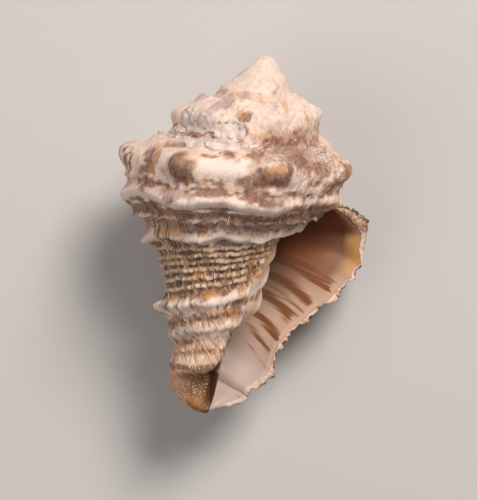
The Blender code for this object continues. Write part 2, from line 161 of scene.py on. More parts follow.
def smooth_section(azimuth, place):
    """Radius and depth of the plain whorl: the section times its size, then the worn cone, the lip's
    drop and flare, the pillar and the hollow, each blended in where it lies."""
    size = growth(azimuth, place)
    r = curve(np.stack([ARC, SECTION[:, 0]], 1), place)*size
    d = curve(np.stack([ARC, SECTION[:, 1]], 1), place)*size
    d = np.where(d < SPIRE_END, curve(SPIRE, np.minimum(d, SPIRE_END)), d)
    r = r + smooth(*WORN, azimuth)*(curve(CONE, np.minimum(d, CONE[-1][0])) - r)
    d = d + RAMP_DROP*smooth(*RAMP_DROP_OVER, azimuth)*(1 - smooth(*RAMP, place))
    r = r + curve(FLARE, within(d, FLARE))*smooth(FLARE_START - CANAL_FLARE*smooth(*CANAL, d), LIP, azimuth)
    x, y = np.abs(np.cos(np.radians(azimuth))), np.abs(np.sin(np.radians(azimuth)))
    low = np.clip(d, *PILLAR_SPAN)
    deep = np.where(azimuth < PILLAR_TURN, curve(PILLAR_BACK, low), curve(PILLAR_FRONT, low))
    pillar = ((x/curve(PILLAR_SIDE, low))**PILLAR_CORNER + (y/deep)**PILLAR_CORNER)**(-1/PILLAR_CORNER)
    far = smooth(*PILLAR_INSIDE, azimuth)
    pillar = pillar*(1 - far) + np.maximum(pillar, PILLAR_INSIDE_SHARE*deep)*far
    r = r + (pillar - r)*smooth(*PILLAR_AZIMUTHS, azimuth)*smooth(*PILLAR_DEPTHS, d)
    floor = HOLLOW_FLOOR + HOLLOW_WIDEN*smooth(*HOLLOW_WIDEN_OVER, d)
    return r + (np.minimum(floor, r) - r)*hollow_mask(azimuth, d), d


# The sculpture.  Round the whorls run a row of blunt knobs on the shoulder, strong and fine spiral
# ribs that dip below each knob, and growth lines, which slant towards the foot and fray at the lip.
KNOBS = [(-30, 1.0), (-68, 1.7), (-114, 2.9), (-180, 2.7), (-237, 2.2), (-286, 2.6), (-345, 2.3),
         (-394, 1.8), (-442, 1.8), (-491, 1.8), (-540, 3.0), (-592, 1.4), (-640, 1.6), (-690, 1.0),
         (-722, 1.5), (-765, 1.0), (-815, 1.0), (-865, 1.0), (-905, 1.2), (-960, 0.6)]
KNOB_DEGREES = 11.0
FOLD_DEGREES = 17.0
SHOULDER = 10.6
SHOULDER_WIDTH = 2.3
FOLD_BELOW = (0.30, 15.0, 8.0)
KNOB_BELOW = (0.40, 18.6, 2.2)

# Place, height, half width, and how far a knob one millimetre high pushes the rib down
RIBS = [(14.2, 0.35, 0.5, 0.1), (17.2, 1.05, 1.1, 0.5), (22.4, 0.6, 0.65, 0.15), (27.3, 1.45, 1.3, 0.5),
        (31.2, 0.4, 0.5, 0), (33.0, 0.5, 0.55, 0), (34.6, 0.45, 0.5, 0), (36.4, 0.5, 0.55, 0),
        (38.4, 0.5, 0.55, 0), (40.3, 0.35, 0.5, 0), (43.8, 1.1, 1.3, 0), (46.6, 0.3, 0.5, 0),
        (49.2, 0.75, 0.9, 0), (52.8, 0.35, 0.5, 0)]
RIB_KNOBS = [(0.5, 28.2, 1.5, 40.0), (1.0, 42.8, 1.5, 30.0)]
FOLDS = (38.2, 43.8, 48.6)
COLUMELLA_FOLD = (0.8, 1.3)
COLUMELLA_FOLDS_FROM = (-318.0, -345.0)
RELIEF_FOOT = (64.0, 67.5)
RELIEF_TOP = (-800.0, -1000.0)
CALLUS_PLACES = (22.0, 26.0)
TEETH = (18.6, 23.0, 28.2, 33.2, 37.2, 42.8, 46.6, 50.4, 54.0, 58.0)
TOOTH = 1.3
TOOTH_WIDTH = 1.0
TEETH_START = LIP - 14.0
NOTCH = 47.0
NOTCH_PLACES = (63.0, 68.6)
NOTCH_START = LIP - 80.0

# Growth lines slant from these two places on, towards the suture and towards the foot
SLANT_TOP = (9.0, 3.0)
SLANT_FOOT = (30.0, 0.12)

# A rib's upper side is gentler and its lower side steeper than its half width; it is uneven by this
# share of its height, wanders this far up and down, and changes over so many degrees
RIB_ABOVE, RIB_BELOW = 1.3, 0.72
RIB_UNEVEN = 0.35
BEAD_WAVE = 1.7
BEAD_DEGREES = 2.1
RIB_WANDER = 0.32
RIB_CHANGES = 10.0

# Growth steps: how many degrees apart, how far they are moved at random, their height and their width
STEP = 3.2
STEP_JITTER = 1.2
STEP_HEIGHT = 0.26
STEP_WIDTH = 1.5
STEP_CREST = 0.82
STEP_LEAST = 0.25
STEP_PLACES = (13.0, 18.0)
SPIRE_WORN = (-560.0, -480.0)
CHIP = 1.1
CHIP_WAVES = (5.3, 1.5, 2.1, 1.7)
CHIP_PLACES = (60.0, 66.0)

# Lumps all over: height, degrees and millimetres across.  Lamellae, which stand up on the ramp beside
# the suture and at the lip: azimuths and places between which they are rough, and how high
LUMPS = [(0.30, 13.0, 3.6), (0.16, 5.0, 1.7), (0.09, 2.2, 0.9)]
SPIRE_LUMPS = 2.2
ROUGH = [(-345, -276, -1, 9.5, 0.7), (-720, -640, 12.0, 17.2, 0.6),
         (-62, -28, 2, 19, 1.1), (-345, -300, 9.5, 19, 0.5)]
ROUGH_EDGE = (7.0, 1.4)
WELT = (0.9, 2.6, 2.2)

# Single lumps and dents, on and between the knobs: azimuth, place, half width in degrees and in
# millimetres, and height
DETAILS = [(-285, 10.3, 7, 0.9, 0.9), (-283, 12.5, 6, 0.9, -0.6), (-286, 14.6, 6, 0.7, 0.6),
           (-272, 13.6, 4, 1.6, 0.35), (-283, 16.6, 10, 1.6, 0.7), (-236, 11.2, 6, 1.4, 0.7),
           (-238, 14.0, 7, 0.7, -0.4), (-235, 16.5, 8, 1.3, 0.7), (-255, 10.8, 8, 2.0, 0.35),
           (-260, 13.8, 8, 0.8, -0.3), (-208, 11.0, 3, 3.0, -0.35), (-199, 10.5, 3, 3.0, 0.35),
           (-221, 10.5, 4, 2.5, 0.3), (-222, 26.0, 12, 7.0, 0.35), (-300, 11.0, 5, 2.0, 0.4),
           (-324, 12.6, 5, 0.8, 0.9), (-336, 11.0, 4, 1.2, 0.8), (-318, 15.2, 6, 0.7, 0.6),
           (-330, 17.0, 6, 0.6, 0.6), (-312, 14.0, 4, 0.7, -0.5), (-240, 29.0, 10, 1.1, 0.5),
           (-289, 29.2, 11, 1.0, 0.5), (-263, 29.3, 5, 1.0, -0.3), (-304, 41.0, 8, 2.4, 0.5),
           (-286, 45.0, 5, 1.4, -0.3), (-256, 44.2, 10, 1.2, 0.4), (-226, 44.4, 5, 1.0, 0.35),
           (-203, 43.8, 6, 1.2, 0.4), (-617, 9.6, 5, 1.6, 1.1), (-626, 10.2, 3, 1.4, -0.6),
           (-594, 5.0, 8, 3.4, -0.5), (-563, 9.0, 7, 1.0, 0.8), (-660, 6.0, 6, 3.0, -0.5),
           (-676, 9.0, 6, 1.6, 0.8), (-648, 10.4, 6, 1.0, 0.8), (-640, 3.5, 6, 3.0, 0.7),
           (-590, 10.0, 7, 1.0, 0.6), (-720, 9.0, 9, 3.0, 0.9), (-755, 11.0, 8, 2.0, -0.5)]

# Under the shoulder of the spire's last whorl its wall spreads towards the suture: how far, over which
# places it comes and goes, and between which azimuths
SKIRT = 2.0
SKIRT_PLACES = (11.5, 16.0, 17.3, 19.5)
SKIRT_AZIMUTHS = (-800.0, -700.0, -520.0, -470.0)


def knobs(azimuth, width):
    """Height of the tallest knob's bell at this azimuth."""
    return np.max([height*bump(azimuth, at, width) for at, height in KNOBS], axis=0)


def lumps(x, y, seed):
    """Cloudy noise from -1 to 1: random heights on a grid of unit squares, joined smoothly."""
    heights = np.random.default_rng(seed).uniform(-1, 1, (97, 89))
    i, j = np.floor(x).astype(int), np.floor(y).astype(int)
    u, v = smooth(0, 1, x - i), smooth(0, 1, y - j)
    first, second = [heights[i % 97, (j + k) % 89]*(1 - u) + heights[(i + 1) % 97, (j + k) % 89]*u
                     for k in (0, 1)]
    return first*(1 - v) + second*v


def growth_coordinate(azimuth, place):
    """Degrees that stay the same along one growth line: the azimuth plus the line's slant so far."""
    top, rate = SLANT_TOP
    foot, bend = SLANT_FOOT
    return azimuth - rate*np.maximum(top - place, 0) + bend*np.maximum(place - foot, 0)**2


def growth_line(azimuth, place):
    """Azimuth along the lip's edge: it steps out where ribs reach it, is chipped between them, and is
    cut back in an arc at the notch."""
    notch = NOTCH*smooth(*NOTCH_PLACES, place)*smooth(NOTCH_START, LIP, azimuth)
    teeth = sum(TOOTH*bump(place, at, TOOTH_WIDTH) for at in TEETH)
    quick, sway, slow, broad = CHIP_WAVES
    chips = CHIP*np.sin(quick*place + sway*np.sin(slow*place))*np.sin(broad*place)**2
    chips = chips*(1 - smooth(*CHIP_PLACES, place))
    return azimuth - notch + (teeth + chips*smooth(-5, 0, azimuth - LIP))*smooth(TEETH_START, LIP, azimuth)


def rib_place(place, azimuth, at, dip):
    """Distance from a rib's crest, which lies lower under each knob and wanders up and down."""
    wander = RIB_WANDER*lumps(azimuth/RIB_CHANGES, at + 0*azimuth, 3)
    return place - at - dip*knobs(azimuth, FOLD_DEGREES) - wander


def rib(place, azimuth, at, width, dip):
    """A rib's profile, 1 on its crest: a bell that is wider above the crest than below it."""
    away = rib_place(place, azimuth, at, dip)
    return bump(away, 0, width*np.where(away < 0, RIB_ABOVE, RIB_BELOW))


def roughness(azimuth, place):
    """How rough the surface is: the strongest of the rough areas, each fading out over its edge."""
    degrees, rows = ROUGH_EDGE
    value = 0*azimuth*place
    for start, end, above, below, strength in ROUGH:
        across = (smooth(start - degrees, start + degrees, azimuth)
                  * (1 - smooth(end - degrees, end + degrees, azimuth)))
        down = smooth(above - rows, above + rows, place)*(1 - smooth(below - rows, below + rows, place))
        value = np.maximum(value, strength*across*down)
    return value


def lamellae(azimuth, place):
    """Crumpled ridges along the growth lines: 1 minus the size of cloudy noise, sharpened."""
    coordinate = growth_coordinate(azimuth, place) + 3.0*lumps(azimuth/9.0, place/2.5, 8)
    ridge = 1 - np.abs(lumps(coordinate/3.2, place/2.8, 9))
    return ridge**3 + 0.6*lumps(coordinate/1.5, place/0.9, 10)


def growth_steps(azimuth, place):
    """Saw-toothed growth steps: for each, a slow rise along the growth coordinate and a quick fall."""
    steps = np.random.default_rng(5)
    coordinate = growth_coordinate(azimuth, place)
    at = np.arange(-1300.0, 400.0, STEP)
    at = at + steps.uniform(-STEP_JITTER, STEP_JITTER, len(at))
    high = steps.uniform(0.35, 1.0, len(at))
    i = np.clip(np.searchsorted(at, coordinate), 1, len(at) - 1)
    t = np.clip((coordinate - at[i - 1])/(at[i] - at[i - 1]), 0, 1)
    return high[i]*np.where(t > STEP_CREST, (1 - t)/(1 - STEP_CREST), t/STEP_CREST)**STEP_WIDTH


def relief(azimuth, place, depth):
    """Height over the plain whorl: the sum of knobs, folds, ribs, columella folds, growth steps, lumps
    and lamellae."""
    fade = (1 - smooth(*RELIEF_FOOT, place))*(1 - smooth(*RELIEF_TOP, azimuth))
    outer = 1 - callus_mask(azimuth, depth)*smooth(*CALLUS_PLACES, place)
    knob, fold = knobs(azimuth, KNOB_DEGREES), knobs(azimuth, FOLD_DEGREES)
    height = knob*bump(place, SHOULDER, SHOULDER_WIDTH)
    for raised, (share, at, width) in ((fold, FOLD_BELOW), (knob, KNOB_BELOW)):
        height = height + outer*share*raised*bump(place, at, width)
    beads = BEAD_WAVE*lumps(growth_coordinate(azimuth, place)/BEAD_DEGREES, place/1.6, 9)
    for at, high, width, dip in RIBS:
        uneven = 1 + RIB_UNEVEN*lumps(azimuth/RIB_CHANGES + 5.0, at*3.0 + 0*place, 4) + beads*(width < 0.7)
        height = height + outer*high*uneven*rib(place, azimuth, at, width, dip)
    for share, at, width, degrees in RIB_KNOBS:
        height = height + share*fold*bump(place, at, width)*bump(azimuth, -180.0, degrees)
    high, width = COLUMELLA_FOLD
    for at in FOLDS:
        height = height + high*smooth(*COLUMELLA_FOLDS_FROM, azimuth)*bump(place, at, width)
    steps = STEP_HEIGHT*growth_steps(azimuth, place)*outer*smooth(*SPIRE_WORN, azimuth)
    steps = steps*(STEP_LEAST + (1 - STEP_LEAST)*smooth(*STEP_PLACES, place))
    spire = 1 + (SPIRE_LUMPS - 1)*smooth(*SPIRE_WORN[::-1], azimuth)
    cloud = sum(high*lumps(azimuth/degrees, place/rows, 20 + k)
                for k, (high, degrees, rows) in enumerate(LUMPS))*spire
    for at, row, degrees, wide, high in DETAILS:
        height = height + high*bump(azimuth, at, degrees)*bump(place, row, wide)
    start, full, end, gone = SKIRT_AZIMUTHS
    skirt = SKIRT*smooth(start, full, azimuth)*(1 - smooth(end, gone, azimuth))
    start, full, end, gone = SKIRT_PLACES
    height = height + skirt*smooth(start, full, place)*(1 - smooth(end, gone, place))
    high, at, width = WELT
    rough = roughness(azimuth, place)*lamellae(azimuth, place) + high*bump(place, at, width)
    return (height + steps + (cloud + rough)*outer)*fade*growth(azimuth, place)


def outward(azimuth, place):
    """The section's outward direction, from the run between two close places on it."""
    step = 0.05
    r1, d1 = smooth_section(azimuth, np.clip(place + step, 0, FOOT))
    r2, d2 = smooth_section(azimuth, np.clip(place - step, 0, FOOT))
    run = np.hypot(r1 - r2, d1 - d2) + 1e-9
    return (d1 - d2)/run, (r2 - r1)/run


def outside(azimuth, place):
    """Azimuth, radius and depth of the outer surface: the plain whorl moved outward by its relief."""
    azimuth, place = np.broadcast_arrays(np.asarray(azimuth, float), np.asarray(place, float))
    azimuth = growth_line(azimuth, place)
    r, d = smooth_section(azimuth, place)
    out_r, out_d = outward(azimuth, place)
    height = relief(azimuth, place, d)
    return azimuth, r + out_r*height, d + out_d*height


def position(azimuth, r, d):
    """Point in the shell's frame: radius turned by the azimuth, and depth down the axis."""
    angle = np.radians(azimuth)
    return np.stack([r*np.cos(angle), r*np.sin(angle), d], -1)


# The mouth.  From the lip and the columella the surface turns inwards: the lining winds back behind
# the lip, thin at the edge and thicker inside, and is closed where it is out of sight.
MOUTH_FOOT = [(0, 69.05), (20, 68.2), (45, 66.5), (62, 63), (80, 57), (104, 51), (140, 47), (240, 44)]
MOUTH_DEPTH = 225.0
WALL_EDGE = 0.25
WALL_GAIN = (0.45, 0.9)
WALL_GAIN_OVER = (4.0, 30.0)
WALL_CANAL_LOSS = 0.4
WALL_CANAL = (62.0, 68.0)
WALL_DEEP = 2.2
WALL_DEEP_PLACES = (36.0, 52.0)
WALL_DEEP_OVER = (50.0, 110.0)
WALL_SHARE = 0.3
PASSAGE_GAP = 1.2
PASSAGE_OPENS = (0.8, 1.8)
COLUMELLA_START = 1.6
WALL_MEETS = 6.0
FOOT_MEETS = 10.0
WALL_LEVEL = 20.0
CLOSING = 45.0
CLOSED_AFTER = 2.0

# The grid: columns to a whorl, whorls, rows down to the next whorl and from there to the foot
TURN = 360
FRONT = (-345.0, -165.0)
FRONT_SHARE = 0.64
WHORLS = 2.7
TOP_ROWS = np.linspace(0, 1, 38)
LOW_ROWS = np.concatenate([np.linspace(24.45, 55, 84), np.linspace(55.4, 69.05, 32)])
RINGS = np.concatenate([[0, 0.4, 1, 2, 3.5], np.linspace(5.5, MOUTH_DEPTH, 54)])
CAP_RINGS = 10
CAP_FAN = 1.0
LAST = len(TOP_ROWS) - 1


def column_azimuths():
    """Azimuth of each column, counted back from the lip: the same pattern each whorl, with most of the
    columns on the front, between two azimuths."""
    columns = int(round(WHORLS*TURN)) + 1
    back = np.arange(columns)[::-1]
    rest = (1 - FRONT_SHARE)/(360.0 - (FRONT[1] - FRONT[0]))
    shares = np.array([0, (LIP - FRONT[1])*rest, (LIP - FRONT[1])*rest + FRONT_SHARE, 1])
    degrees = np.array([0, LIP - FRONT[1], LIP - FRONT[0], 360.0])
    return LIP - 360.0*(back // TURN) - np.interp((back % TURN)/TURN, shares, degrees)


def whorl_grid():
    """The outside as a grid, a column for each azimuth and a row for each place.  Whorl by whorl, the
    top of each column is moved on to the cover row of the whorl before, and the rows under it follow."""
    azimuth = column_azimuths()
    columns = len(azimuth)
    start = cover(azimuth)[:, None]
    low = (LOW_ROWS - LOW_ROWS[0])/(LOW_ROWS[-1] - LOW_ROWS[0])
    place = np.concatenate([TOP_ROWS*start, start + low[1:]*(FOOT - start)], 1)
    bent, r, d = outside(azimuth[:, None], place)
    weight = 1 - smooth(0, SUTURE_REACH, place[:, :LAST + 1])
    for first in range(TURN, columns, TURN):
        here = slice(first, min(first + TURN, columns))
        before = slice(first - TURN, here.stop - TURN)
        r[here, :LAST + 1] += (r[before, LAST] - r[here, 0])[:, None]*weight[here]
        d[here, :LAST + 1] += (d[before, LAST] - d[here, 0])[:, None]*weight[here]
    return azimuth, place, bent, r, d


def on_shell(columns, grid, azimuth, place):
    """Points of the outside at azimuths and places, with the directions outward: the grid's four
    nearest points are weighted by how near they are, and two small steps span the surface."""
    def at(turned, row):
        start = cover(turned)
        share = np.where(row < start, row/start*LAST, LAST + np.interp(
            (row - start)/(FOOT - start), (LOW_ROWS - LOW_ROWS[0])/(LOW_ROWS[-1] - LOW_ROWS[0]),
            np.arange(len(LOW_ROWS))))
        column = np.interp(turned, columns, np.arange(len(columns)))
        i = np.clip(np.floor(column).astype(int), 0, grid.shape[0] - 2)
        j = np.clip(np.floor(share).astype(int), 0, grid.shape[1] - 2)
        u, v = (column - i)[..., None], (share - j)[..., None]
        near = grid[i, j]*(1 - v) + grid[i, j + 1]*v
        return near*(1 - u) + (grid[i + 1, j]*(1 - v) + grid[i + 1, j + 1]*v)*u
    across = at(azimuth + 0.8, place) - at(azimuth - 0.8, place)
    down = at(azimuth, place + 0.3) - at(azimuth, np.maximum(place - 0.3, 0))
    direction = np.cross(across, down)
    direction = direction/(np.linalg.norm(direction, axis=-1, keepdims=True) + 1e-12)
    point = at(azimuth, place)
    inward = np.sum(direction*(point*[1, 1, 0]), -1, keepdims=True) < 0
    return point, np.where(inward, -direction, direction)


def mouth_rings(azimuth, place, r, d):
    """The lining as closed rings: each runs down the inner face of the outer wall, which is the outside
    moved in by the wall's thickness, and back up the columella; the last rings shrink to a point."""
    plain_r, plain_d = smooth_section(azimuth, 0*azimuth)
    lip_share = place[-1]/FOOT
    inner_share = place[-1 - TURN, LAST:]
    inner_share = (inner_share - inner_share[0])/(FOOT - inner_share[0])
    rings = []
    for behind in RINGS:
        here = LIP - behind
        foot = curve(MOUTH_FOOT, behind)
        edge_gain, inner_gain = [smooth(0, run, behind) for run in WALL_GAIN_OVER]
        wall = foot*lip_share
        wall_az = growth_line(np.full(len(wall), here), wall)
        wall_r, wall_d = smooth_section(wall_az, wall)
        out_r, out_d = outward(wall_az, wall)
        suture = 1 - smooth(0, SUTURE_REACH, wall)
        thick = WALL_EDGE + WALL_GAIN[0]*edge_gain + WALL_GAIN[1]*inner_gain
        thick = thick - WALL_CANAL_LOSS*smooth(*WALL_CANAL, wall)*inner_gain
        thick = thick + WALL_DEEP*smooth(*WALL_DEEP_PLACES, wall)*smooth(*WALL_DEEP_OVER, behind)
        thick = np.minimum(thick, WALL_SHARE*wall_r)
        wall_r = wall_r + np.interp(here, azimuth, r[:, 0] - plain_r)*suture - out_r*thick
        wall_d = wall_d + np.interp(here, azimuth, d[:, 0] - plain_d)*suture - out_d*thick
        side = wall > WALL_LEVEL
        wall_d[side] = np.maximum.accumulate(wall_d[side])

        start = cover(here - 360.0) + COLUMELLA_START*inner_gain
        inner = start + (foot - start)*inner_share
        inner_az, inner_r, inner_d = outside(np.full(len(inner), here - 360.0), inner)
        inner_az = inner_az + 360.0

        near = 1 - smooth(0, WALL_MEETS, wall)
        wall_r = wall_r + (inner_r[0] - wall_r[0])*near
        wall_d = wall_d + (inner_d[0] - wall_d[0])*near
        far = smooth(-FOOT_MEETS, 0, inner - inner[-1])
        inner_r = inner_r + (wall_r[-1] - inner_r[-1])*far
        inner_d = inner_d + (wall_d[-1] - inner_d[-1])*far
        inner_az = inner_az + (wall_az[-1] - inner_az[-1])*far

        deepest = np.maximum.accumulate(wall_d)
        opening = [rate*run for rate, run in zip(PASSAGE_OPENS, (inner - inner[0], inner[-1] - inner))]
        gap = np.minimum(PASSAGE_GAP, np.minimum(*opening))
        inner_r = np.minimum(inner_r, np.interp(inner_d, deepest, wall_r) - gap*inner_gain)
        sides = ((wall_az, inner_az), (wall_r, inner_r), (wall_d, inner_d), (wall, inner))
        rings.append([np.concatenate([outer, inside[::-1][1:-1]]) for outer, inside in sides])
    bent, ring_r, ring_d, ring_place = np.array(rings).transpose(1, 0, 2)
    shrink = np.sqrt(1 - smooth(MOUTH_DEPTH - CLOSING, MOUTH_DEPTH + CLOSED_AFTER, RINGS)**2)[:, None]
    middle_r, middle_d = ring_r.mean(1, keepdims=True), ring_d.mean(1, keepdims=True)
    points = position(bent, middle_r + (ring_r - middle_r)*shrink, middle_d + (ring_d - middle_d)*shrink)
    return points, bent, ring_place


def between(loop, following):
    """Quads between two rings of equally many vertices."""
    return np.stack([loop, following, np.roll(following, -1, 0), np.roll(loop, -1, 0)], 1)


def blocks(grid):
    """The four corners of each quad of a grid."""
    corners = [grid[:-1, :-1], grid[1:, :-1], grid[1:, 1:], grid[:-1, 1:]]
    return np.stack(corners, 2).reshape(-1, 4, *grid.shape[2:])


def shell_surface():
    """Vertices, quads, the growth coordinate and place of each quad's corners, and for each vertex its
    azimuth, place and how far it is inside the mouth, from 0 at the lip's edge."""
    azimuth, place, bent, r, d = whorl_grid()
    grid = position(bent, r, d)
    columns, foot_row = len(azimuth), grid.shape[1] - 1
    first_open = columns - 1 - TURN

    # Own vertices: the first whorl has all its top rows, the others all but the top one, and the last
    # whorl its lower rows too; its foot is one point
    own = np.zeros(grid.shape[:2], bool)
    own[:TURN, 0] = True
    own[:, 1:LAST + 1] = True
    own[first_open:, LAST + 1:foot_row] = True
    index = np.full(grid.shape[:2], -1)
    index[own] = np.arange(own.sum())
    index[TURN:, 0] = index[:-TURN, LAST]
    index[first_open:, foot_row] = own.sum()
    points = [grid[own], np.array([[0, 0, SECTION[-1, 1]]])]
    facts = [np.stack([bent[own], place[own], 0*bent[own]], 1), np.array([[-200.0, FOOT, 0]])]
    uv_grid = np.stack([growth_coordinate(bent, place), place], -1)
    faces = [blocks(index[:, :LAST + 1]), blocks(index[first_open:, LAST:])]
    uvs = [blocks(uv_grid[:, :LAST + 1]), blocks(uv_grid[first_open:, LAST:])]
    count = own.sum() + 1

    # The cap over the top: rings along the worn cone, which fan out from the first column
    loop = np.concatenate([index[0, LAST:0:-1], index[:TURN, 0]])
    fan = CAP_FAN*np.arange(-LAST, 0)
    cap_azimuth = azimuth[0] + np.concatenate([fan, np.arange(TURN)*(360.0 - CAP_FAN*LAST)/TURN])
    for k in range(1, CAP_RINGS + 1):
        depth = np.full(len(loop), d[0, 0]*(1 - k/CAP_RINGS))
        last_ring = k == CAP_RINGS
        following = np.full(len(loop), count) if last_ring else count + np.arange(len(loop))
        uv_row = np.stack([cap_azimuth, 0*depth], 1)
        faces.append(between(loop, following))
        uvs.append(between(uv_row, uv_row))
        ring = position(cap_azimuth, curve(CONE, depth), depth)
        fact = np.stack([cap_azimuth, 0*depth, 0*depth], 1)
        points.append(ring[:1] if last_ring else ring)
        facts.append(fact[:1] if last_ring else fact)
        count += 1 if last_ring else len(loop)
        loop = following

    # The lining, from the lip's edge inwards
    loop = np.concatenate([index[-1, :foot_row + 1], index[first_open, foot_row - 1:LAST:-1]])
    rings, ring_azimuth, ring_place = mouth_rings(azimuth, place, r, d)
    ring_uv = np.stack([growth_coordinate(ring_azimuth, ring_place), ring_place], -1)
    ring_facts = np.stack([ring_azimuth, ring_place, np.broadcast_to(RINGS[:, None], ring_place.shape)], -1)
    for k in range(1, len(RINGS)):
        following = count + np.arange(len(loop))
        faces.append(between(loop, following))
        uvs.append(between(ring_uv[k - 1], ring_uv[k]))
        points.append(rings[k])
        facts.append(ring_facts[k])
        count += len(loop)
        loop = following
    faces.append(between(loop, np.full(len(loop), count)))
    uvs.append(between(ring_uv[-1], ring_uv[-1]))
    points.append(rings[-1].mean(0)[None])
    facts.append(ring_facts[-1].mean(0)[None])
    return [np.concatenate(part) for part in (points, faces, uvs, facts)]


def triangles(faces, uvs):
    """Quads split along a diagonal, without the halves that have no area."""
    halves = np.concatenate([faces[:, [0, 1, 2]], faces[:, [0, 2, 3]]])
    half_uvs = np.concatenate([uvs[:, [0, 1, 2]], uvs[:, [0, 2, 3]]])
    a, b, c = halves.T
    whole = (a != b) & (b != c) & (a != c)
    return halves[whole], half_uvs[whole]


# How the shell lies: turned about its long axis and its apex lifted.  The apex is the frame's
# northernmost point.
REST_SPIN, REST_LIFT = np.radians(-3.8), np.radians(5.6)
MM = 0.001
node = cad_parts["shell"]
frame_points = np.zeros(len(node.data.vertices)*3)
node.data.vertices.foreach_get("co", frame_points)
frame_points = frame_points.reshape(-1, 3)
APEX = frame_points[frame_points[:, 1].argmax()]
LOW, HIGH = [np.array(corner) for corner in cad_box]


def laid(points):
    """Row frame metres of shell frame millimetres: the long axis to -Y, then the spin and the lift."""
    x, y, z = points[..., 0], -points[..., 2], points[..., 1]
    x, z = x*np.cos(REST_SPIN) + z*np.sin(REST_SPIN), z*np.cos(REST_SPIN) - x*np.sin(REST_SPIN)
    y, z = y*np.cos(REST_LIFT) - z*np.sin(REST_LIFT), z*np.cos(REST_LIFT) + y*np.sin(REST_LIFT)
    return np.stack([x, y, z], -1)*MM


def placed(points):
    """The laid points with the apex at the frame's, held inside the frame's box."""
    return np.clip(laid(points) + APEX, LOW, HIGH)


def make_piece(name, points, faces, material, uvs=None, marks=None):
    """An object from arrays: vertices, faces, a UV for each corner and named values for each vertex."""
    mesh = bpy.data.meshes.new(name)
    mesh.from_pydata(points.tolist(), [], faces.tolist())
    if uvs is not None:
        layer = mesh.uv_layers.new(name="growth")
        layer.data.foreach_set("uv", uvs.reshape(-1).astype(np.float32))
    for mark, values in (marks or {}).items():
        attribute = mesh.attributes.new(mark, "FLOAT", "POINT")
        attribute.data.foreach_set("value", values.astype(np.float32))
    mesh.shade_smooth()
    mesh.materials.append(material)
    piece = bpy.data.objects.new(name, mesh)
    bpy.context.scene.collection.objects.link(piece)
    return piece


